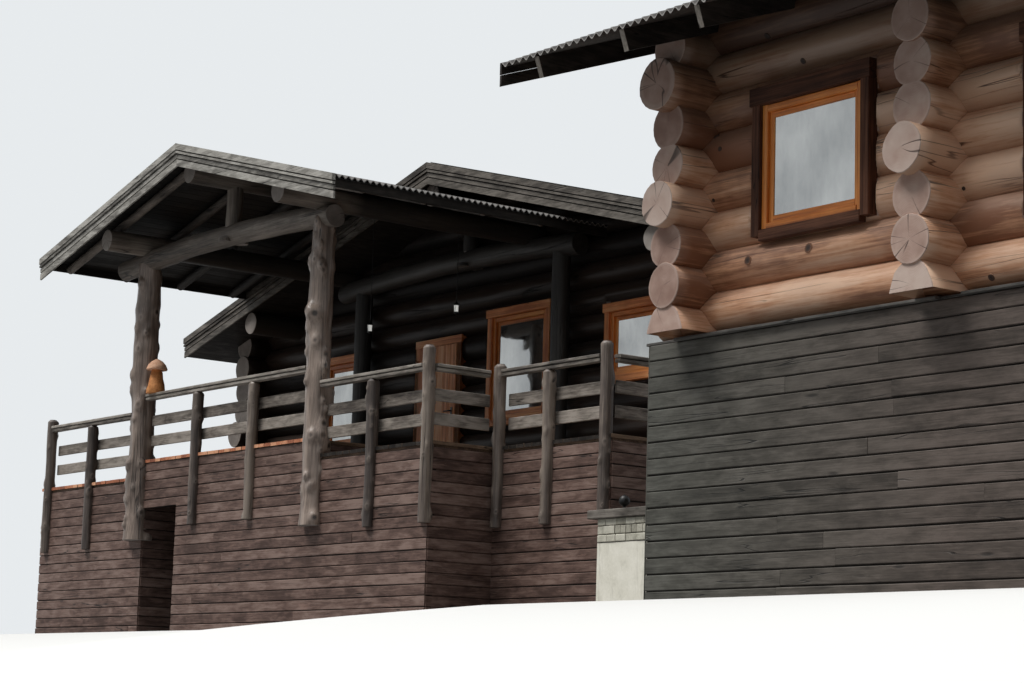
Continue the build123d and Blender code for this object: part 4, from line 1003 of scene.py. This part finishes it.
WAVE = 0.088
JOIN, LATE = WY0 - 0.951, WRX + 0.19 - PRX
for name, side in (("house_roof_front", -1), ("house_roof_back", 1)):
    sheet(name + "_sheet", name, 1, side, HRY, HRT, t20, 0.1, 0.0185)
lo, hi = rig.box("porch_roof_left")
sheet("porch_left_sheet", "porch_roof_left", 0, -1, PRX, PRT, t15, WAVE, 0.017)
boarding("porch_left_boarding", PRX, lo.x + 0.02, lo.y + 0.01, hi.y - 0.01)
lo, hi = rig.box("porch_roof_right")
sheet("porch_right_sheet", "porch_roof_right", 0, 1, PRX, PRT, t15, WAVE, 0.017, (JOIN, LATE))
boarding("porch_right_boarding", PRX, hi.x - 0.02, lo.y + 0.01, JOIN - 0.001)
boarding("porch_right_tail_boarding", PRX, hi.x - 0.02, JOIN + 0.001, hi.y - 0.01, LATE)
for name, side, front in (("wing_roof_left", -1, WY0 - 0.44), ("wing_roof_right", 1, None)):
    sheet(name + "_sheet", name, 0, side, WRX, WRT + 0.0145, t15, WAVE, 0.0065, front=front, stands=False)
    # The wing roof under its sheet takes near-black boards: painted shade.
    dress(name, board["dark", "y"])


def verge(name, node, cr, ridge, top, t, outs, layers, kind):
    """Edge boards on gables: separate boards in steps, each with a dark joint under it."""
    b = Build(name, [board[kind, "xy"[cr]]], "weathered_boards")
    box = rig.box(node)
    half = (box[1][cr] - box[0][cr]) / 2
    e = np.eye(3)
    for out in outs:
        for side in (-1, 1):
            for d0, d1, near, far in layers:
                prof = [(side * 0.0006, -d0), (side * half, -d0 - half * t),
                        (side * half, -d1 - half * t), (side * 0.0006, -d1)]
                o = np.zeros(3)
                o[cr], o[1 - cr], o[2] = ridge, box[out > 0][1 - cr] - out * near, top + 0.0005
                b.prism(prof, o, e[cr], e[2], -out * e[1 - cr], far - near)
    b.make(node)


STEPS = ((0.0, 0.082, 0.0, 0.05), (0.097, 0.128, 0.008, 0.05), (0.142, 0.196, 0.026, 0.055),
         (0.211, 0.3, 0.03, 0.055))
verge("house_verge_boards", "house_bargeboards", 1, HRY, HRT, t20, (-1, 1),
      ((0.0, 0.11, 0.0, 0.026), (0.114, 0.215, 0.003, 0.026)), "dark")
verge("wing_verge_boards", "wing_bargeboards", 0, WRX, WRT, t15, (-1, 1), STEPS, "brown")
verge("porch_verge_boards", "porch_bargeboards", 0, PRX, PRT, t15, (-1,), STEPS, "edge")
dress("porch_eave_boards", board["dark", "y"])

# House rafters take near-black boards, a painted shade under the eaves; their cut ends are grey.
raft = Build("house_rafter_boards", [board["dark", "y"], board["grey", "z"]], "weathered_boards")
DEEP, c20, s20 = 0.186, math.cos(SLOPE), math.sin(SLOPE)
for node, side in (("house_rafters_front", -1), ("house_rafters_back", 1)):
    for lo, hi in islands(node):
        near, far = abs((hi[1] if side < 0 else lo[1]) - HRY), abs((lo[1] if side < 0 else hi[1]) - HRY)
        prof = [(near, -near * t20), (far, -far * t20), (far - DEEP * s20, -far * t20 - DEEP * c20),
                (near, -near * t20 - DEEP / c20)]
        prof = [(side * u, w) for u, w in prof]
        raft.prism(prof, (lo[0] + 0.002, HRY, HRT - 0.046), Y, Z, X, hi[0] - lo[0] - 0.004)
        end = prof[1:3]
        tip = [(u + side * 0.005 * c20, w - 0.005 * s20) for u, w in reversed(end)]
        raft.prism(end + tip, (lo[0] + 0.003, HRY, HRT - 0.046), Y, Z, X, hi[0] - lo[0] - 0.006, mat=1)
raft.make("house_rafters_front", "house_rafters_back")


# Porch timber

def pole(b, x, y, z, a, c, around, r, amount, seed, shape=1.0, cap=1, **how):
    """One knotty log along the points that x, y and z give, as numbers or arrays."""
    pts = np.stack(np.broadcast_arrays(x, y, z), 1)
    rad, mark = wobble(pts, around, r, amount, seed, **how)
    b.tube(pts, rad * shape, a, c, around, cap=cap, marks=mark)


def knotty(name, mat):
    """A piece of knotty logs with weathered ends."""
    return Build(name, [mat, wing_end], "knotty_logs")


b = knotty("porch_post_logs", post_mat)
for i, (lo, hi) in enumerate(ordered("porch_posts", 0)):
    zs = np.linspace(lo[2], hi[2] + 0.02, 180)
    share = (zs - lo[2]) / (hi[2] - lo[2])
    girth = np.interp(share, (0, 0.09, 0.23, 0.47, 0.7, 1), (1.1, 0.98, 1.04, 0.95, 1.0, 0.9))
    pole(b, (lo[0] + hi[0]) / 2 + 0.012 * np.sin(share * 5 + i), DY0 - 0.004, zs, X, Y, 48,
         (0.168, 0.154)[i], 0.08, 3.7 + i * 5.1, girth[:, None], along=1.6, knots=0.058, every=0.062,
         size=0.034)
b.make("porch_posts")

POST_LEAST = 0.8
rail_poles = knotty("rail_post_poles", rail_post_mat)
stands = [q for node in ("deck_rail_front", "deck_rail_step") for q in islands(node)
          if q[1][2] - q[0][2] >= POST_LEAST]
for i, (lo, hi) in enumerate(stands, 1):
    top = hi[2]
    zs = np.concatenate([np.arange(lo[2], top - 0.03, 0.035), [top - 0.028, top - 0.012, top]])
    shape = np.ones((len(zs), 1))
    shape[-2:, 0] = 0.86, 0.66
    pole(rail_poles, (lo[0] + hi[0]) / 2 + 0.006 * np.sin(zs * 3 + i), lo[1] + 0.075, zs, X, Y, 28, 0.073,
         0.08, 20.3 + i * 3.1, shape, 0, along=2.0, knots=0.024, every=0.12, size=0.022)

b = knotty("porch_beam_logs", beam_mat["x"])
SAG = 0.11
for i, (lo, hi) in enumerate(ordered("porch_tie_beams", 1)):
    mid, half = (lo[0] + hi[0]) / 2, (hi[0] - lo[0]) / 2
    xs = np.linspace(lo[0] + 0.01, hi[0] - 0.01, int((hi[0] - lo[0]) / 0.06))
    pole(b, xs, (lo[1] + hi[1]) / 2, hi[2] - 0.15 - SAG * ((xs - mid) / half) ** 2, Y, Z, 28, 0.143, 0.06,
         41.7 + i, 1.0, 0 if i else 1, along=1.1, knots=0.02, every=0.4, size=0.05)
b.make("porch_tie_beams")

b = knotty("purlin_logs", beam_mat["y"])
for node, r, wide in (("porch_purlins", 0.146, 0.29), ("wing_purlins", 0.161, None)):
    for i, (lo, hi) in enumerate(ordered(node, 0)):
        if hi[1] - lo[1] < 0.3:
            continue
        full = wide and hi[0] - lo[0] > wide
        cz = hi[2] - 0.15 if full else lo[2] + (0.15 if wide else 0.165)
        ys = np.linspace(lo[1], hi[1], int((hi[1] - lo[1]) / 0.12) + 2)
        pole(b, (lo[0] + hi[0]) / 2, ys, cz, X, Z, 24, r, 0.05, 61.7 + i, along=1.0, knots=0.015, every=0.8,
             size=0.05)
b.make("porch_purlins", "wing_purlins")

b = knotty("rafter_poles", beam_mat["x"])
d = np.linspace(0.0, 3.745, 30)
for i, y in enumerate(sorted({round(float(lo[1] + hi[1]) / 2, 3) for lo, hi in islands("porch_rafters")})):
    for side in (-1, 1):
        pole(b, PRX + side * d, y, PRT - 0.1225 - d * t15, Y, Z, 16, 0.0615, 0.04, 81.7 + i + side * 3,
             along=1.5, knots=0.008, every=0.5, size=0.03)
b.make("porch_rafters")

b = knotty("standing_logs", beam_mat["z"])
for node, r, more in (("king_posts", 0.105, 0.03), ("wall_posts", 0.122, 0.0)):
    for i, (lo, hi) in enumerate(islands(node)):
        zs = np.linspace(lo[2], hi[2] + more, int((hi[2] - lo[2]) / 0.08) + 2)
        pole(b, (lo[0] + hi[0]) / 2, (lo[1] + hi[1]) / 2, zs, X, Y, 24, r, 0.05, 71.7 + i, along=1.5,
             knots=0.015, every=0.4, size=0.04)
b.make("king_posts", "wall_posts")

# Railing

rails = Build("rail_boards", [board[kind, ax] for kind in ("grey", "guard") for ax in "xy"],
              "weathered_boards")
for node in ("deck_rail_front", "deck_rail_return", "deck_rail_step", "deck_rail_side"):
    for lo, hi in islands(node):
        s = hi - lo
        if s[2] > POST_LEAST:
            continue
        k = 0 if s[0] > s[1] else 1
        capping = s[2] < 0.06
        if capping:
            upper = lo[2] - DZ - (PZ - DZ if lo[2] > DZ + 0.95 else 0.0) > 0.85
            inset = 0.002 if upper else 0.014
            lo[1 - k] += inset
            hi[1 - k] -= inset
            lo[2] += 0.004 if upper else 0.0
            hi[2] -= 0.003
        rails.plank(lo, hi, "xy"[k], mat=k if capping else 2 + k, ch=0.006, warp=0.0015)
rails.make("deck_rail_return", "deck_rail_side")
rail_poles.make("deck_rail_front", "deck_rail_step")


# Windows and door

def window(idx, hole, lo, hi):
    """Casing, frame and sash round one pane. lo and hi are the CAD frame's box."""
    k, out = hole.k, hole.out
    ax = "xy"[k]
    u0, u1, z0, z1 = lo[k], hi[k], lo[2], hi[2]
    face = hi[1 - k] if out > 0 else lo[1 - k]
    fam = casing if hole.house else russet
    b = Build(f"window_{idx}", [amber[ax], amber["z"], fam[ax], fam["z"]], "window_timber")
    sides = ((u0, 1), (u1, -1))

    def bar(a0, a1, w0, w1, b0, b1, mat):
        corners = zip(sorted((a0, a1)), sorted((face + out * w0, face + out * w1)), (b0, b1))
        p, q = ((u, w, z) if k == 0 else (w, u, z) for u, w, z in corners)
        b.plank(p, q, "z" if mat % 2 else ax, mat=mat, ch=0.005, warp=0.0006)

    cw, lintel = 0.094, 0.15 if hole.house else 0.115
    for e, s in sides:
        bar(e - s * 0.001, e - s * (0.001 + cw), -0.08, 0.03, z0 - 0.05, z1 + 0.002, 3)
    bar(u0 - cw - 0.02, u1 + cw + 0.02, -0.05, 0.042, z1 + 0.003, z1 + 0.003 + lintel, 2)
    bar(u0 + 0.001, u1 - 0.001, -0.05, 0.03, z0 - 0.095, z0 - 0.001, 2)
    for near, far, low, sill, head, w0, w1, nose in (
            (0.001, 0.062, 0.001, 0.0496, 0.001, -0.105, -0.002, 0.004),
            (0.063, 0.112, 0.0496, 0.112, 0.062, -0.09, -0.03, -0.03)):
        for e, s in sides:
            bar(e + s * near, e + s * far, w0, w1, z0 + low, z1 - head, 1)
        bar(u0 + far + 0.001, u1 - far - 0.001, w0, w1, z1 - far, z1 - near, 0)
        bar(u0 + far + 0.001, u1 - far - 0.001, w0, nose, z0 + low, z0 + sill, 0)
    b.make(*(["window_casings", "window_frames"] if idx == 0 else []))


for i, (w, (lo, hi)) in enumerate(zip(WINDOWS, islands("window_frames"))):
    window(i, w, lo, hi)
dress("window_glass", glass)

lo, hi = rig.box("door_frame")
DF = WY0 - 0.002
leaf_lo, leaf_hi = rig.box("door_leaf")
dl, dr, dt = leaf_lo.x - 0.008, leaf_hi.x + 0.008, leaf_hi.z + 0.008
jx0, jx1 = lo.x + 0.0505, hi.x - 0.0505
d = Build("door_casing", [russet["x"], russet["z"]], "window_timber")
for x0, x1, y0, y1, z0, z1, ax in (
        (lo.x, dl, -0.03, 0, lo.z, dt + 0.004, "z"), (dr, hi.x, -0.03, 0, lo.z, dt + 0.004, "z"),
        (lo.x - 0.01, hi.x + 0.01, -0.032, 0, dt + 0.005, dt + 0.11, "x"),
        (jx0, dl, 0.0005, 0.178, lo.z, dt, "z"), (dr, jx1, 0.0005, 0.178, lo.z, dt, "z"),
        (jx0, jx1, 0.0005, 0.178, dt + 0.0005, hi.z if hi.z > dt + 0.03 else dt + 0.07, "x")):
    d.plank((x0, DF + y0, z0), (x1, DF + y1, z1), ax, mat="xz".index(ax), warp=0)
d.make()
for n in ("door_frame", "door_leaf"):
    dress(n, russet["z"])
leaf = Build("door_planks", [russet["z"]], "window_timber", "door")
LEAF_BOARDS = 6
w = (leaf_hi.x - leaf_lo.x) / LEAF_BOARDS
for i in range(LEAF_BOARDS):
    leaf.plank((leaf_lo.x + i * w + 0.0015, DF - 0.034, leaf_lo.z + 0.002),
               (leaf_lo.x + (i + 1) * w - 0.0015, DF - 0.01, leaf_hi.z - 0.002), "z", ch=0.005)
leaf.make()
dress("door_handle", iron)


# Block wall

lo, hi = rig.box("block_wall")
FOOTING = 0.95
b = Build("wall_blocks", [stone, concrete], "blocks")
for y, out in ((lo.y, -1), (hi.y, 1)):
    z = FOOTING
    for h, short, wide in ((0.085, 0.13, 0.19), (0.095, 0.085, 0.115), (0.08, 0.13, 0.19)):
        x = lo.x + 0.004
        while x < hi.x - 0.02:
            x1 = min(x + rng.uniform(short, wide), hi.x - 0.004)
            ys = sorted((y - out * 0.01, y + out * rng.uniform(0.010, 0.018)))
            b.plank((x + 0.004, ys[0], z + 0.004), (x1 - 0.004, ys[1], z + h - 0.004), "x", ch=0.009,
                    warp=0.001, segs=1)
            x = x1
        z += h
    ys = sorted((y, y + out * 0.006))
    b.plank((lo.x, ys[0], 0), (hi.x, ys[1], FOOTING - 0.005), "x", mat=1, warp=0)
b.make()
dress("block_wall", mortar)
lo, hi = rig.box("block_wall_cap")
b = Build("wall_cap_beam", [board["brown", "x"]], "cap_timber")
b.plank(lo, (hi.x, SY - 0.001, hi.z), "x", ch=0.008, warp=0)
b.plank((WX1 + 0.001, SY, lo.z), hi, "x", ch=0.008, warp=0)
b.make("block_wall_cap")


# Lanterns under the porch, a ball lamp on the block wall and a carved mushroom on the rail

def turned(b, x, y, profile, mat, around=20, uneven=None):
    """A turned form from (radius, height) points. uneven gives each radius a range of its own."""
    pts = [(x, y, z) for _, z in profile]
    rad = np.array([[r * (g.uniform(*uneven) if uneven else 1) for _ in range(around)] for r, _ in profile])
    b.tube(pts, rad, X, Y, around, mat=mat, cap=mat)


b = Build("lanterns", [iron, lamp_glass], "iron")
for x, y, z in ((-4.937, -0.6, 4.337), (-6.968, -0.6, 4.302)):
    hook = PRT - 0.062 - abs(x - PRX) * t15
    turned(b, x, y, ((0.004, z + 0.08), (0.004, hook)), 0, 8)
    turned(b, x, y, ((0.044, z + 0.048), (0.036, z + 0.062), (0.014, z + 0.078), (0.008, z + 0.09)), 0)
    turned(b, x, y, ((0.026, z - 0.05), (0.033, z + 0.048)), 1)
    turned(b, x, y, ((0.018, z - 0.066), (0.034, z - 0.058), (0.032, z - 0.05)), 0)
    for a in circle(4) + 0.4:
        px, py = x + 0.033 * math.cos(a), y + 0.033 * math.sin(a)
        turned(b, px, py, ((0.003, z - 0.052), (0.003, z + 0.05)), 0, 6)
b.make()

cap_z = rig.box("block_wall_cap")[1].z
BALL = 0.062
b = Build("ball_lamp", [iron], "iron")
arc = [(BALL * math.cos(a), cap_z + 0.098 + BALL * math.sin(a)) for a in np.linspace(-1.25, 1.5, 12)]
turned(b, 0.43, -2.12, [(0.045, cap_z), (0.045, cap_z + 0.012), (0.018, cap_z + 0.02),
                        (0.016, cap_z + 0.036)] + arc, 0, 24)
b.make()

b = Build("carved_mushroom", [mushroom_stem, mushroom_cap], "weathered_boards")
foot = PZ + 0.91
g = np.random.default_rng(5)
for mat, around, uneven, form in (
        (0, 14, (0.9, 1.1), ((0.122, 0), (0.128, 0.05), (0.112, 0.12), (0.088, 0.2), (0.08, 0.28),
                             (0.06, 0.335))),
        (1, 18, (0.94, 1.05), ((0.03, 0.325), (0.142, 0.318), (0.148, 0.336), (0.12, 0.39), (0.075, 0.44),
                               (0.03, 0.466), (0.008, 0.47)))):
    turned(b, BL + 0.19, DY0 - 0.03, [(r, foot + z) for r, z in form], mat, around, uneven)
b.make()

# Materials of the CAD nodes that stay in view
done = {m.name for m in (glass, iron, mortar, *board.values(), *russet.values())}
for n in nodes:
    if nodes[n].hide_render or any(m and m.name in done for m in nodes[n].data.materials):
        continue
    lo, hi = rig.box(n)
    kind = "floor" if "floor" in n else ("house" if n.startswith("house") else "deck")
    if "wall" in n or "basement" in n:
        kind = "dark"
    dress(n, board[kind, "x" if hi.x - lo.x > hi.y - lo.y else "y"])

# Floor, light and camera


def outside(x, y):
    """Distance from the building's plan."""
    return min(math.hypot(max(x0 - x, 0, x - x1), max(y0 - y, 0, y - y1))
               for x0, x1, y0, y1 in ((HX0, HX1, HY0, HY1), (WX0, WX1, DY0, WY1), (WX0, HX1, SY, WY1)))


n, LEVEL_RIM = 160, 0.8
verts = []
for y in np.linspace(-70, 60, n):
    for x in np.linspace(-60, 70, n):
        far = max(0.0, outside(x, y) - LEVEL_RIM)
        verts.append((x, y, -0.155 * far * far / (far + 1.2)))
faces = [(j * n + i, j * n + i + 1, (j + 1) * n + i + 1, (j + 1) * n + i)
         for j in range(n - 1) for i in range(n - 1)]
me = bpy.data.meshes.new("ground")
me.from_pydata(verts, [], faces)
me.polygons.foreach_set("use_smooth", [True] * len(faces))
ground = put("ground", me)
floor = Mat("pale_floor", 0.9)
me.materials.append(floor.end(floor.mix(floor.n("LightPath"), (0.2, 0.2, 0.2, 1), (0.62, 0.62, 0.61, 1))))
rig.stage(ground)

world = bpy.data.worlds.new("studio")
bpy.context.scene.world = world
world.use_nodes = True
sky = Nodes(world.node_tree)
sky.t.nodes.clear()
level = sky.part(sky.n("TexCoord"), 2)
for op, value in (("MAXIMUM", 0.0), ("POWER", 2.5), ("MULTIPLY", 1.5), ("ADD", 0.03)):
    level = sky.math(op, level, value)
light = sky.n("Background", {0: (0.93, 0.97, 1.0, 1), 1: level})
show = sky.n("Background", {0: (0.80, 0.83, 0.85, 1), 1: 1.0})
seen = sky.n("LightPath")
for ray in ("Is Glossy Ray", "Is Transmission Ray"):
    seen = sky.math("MAXIMUM", seen, sky.n("LightPath", out=ray))
sky.n("OutputWorld", {0: sky.n("MixShader", {0: seen, 1: light, 2: show})})

sun = bpy.data.lights.new("soft_sun", "SUN")
sun.energy = 3.5
sun.angle = math.radians(30)
sun.color = (1.0, 0.98, 0.95)
put("soft_sun", sun).rotation_euler = Vector((-0.26, -0.41, 0.875)).to_track_quat("Z", "Y").to_euler()

cam = bpy.data.cameras.new("camera")
cam.lens = 84.32
cam.sensor_width = 36
cam.clip_end = 500
right = Vector((0.6045, 0.7960, 0.0298)).normalized()
back = right.cross(Vector((0.1055, -0.117, 0.9875))).normalized()
up = back.cross(right).normalized()
camera = put("camera", cam)
place = Matrix.Translation((20.347, -18.685, -0.944))
camera.matrix_world = place @ Matrix((right, up, back)).transposed().to_4x4()
bpy.context.scene.camera = camera
bpy.context.scene.view_settings.view_transform = "Standard"

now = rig.bounds()
with open("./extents.json", "w") as f:
    json.dump({"cad": [list(cad_box[0]), list(cad_box[1])], "visual": [list(now[0]), list(now[1])]}, f)
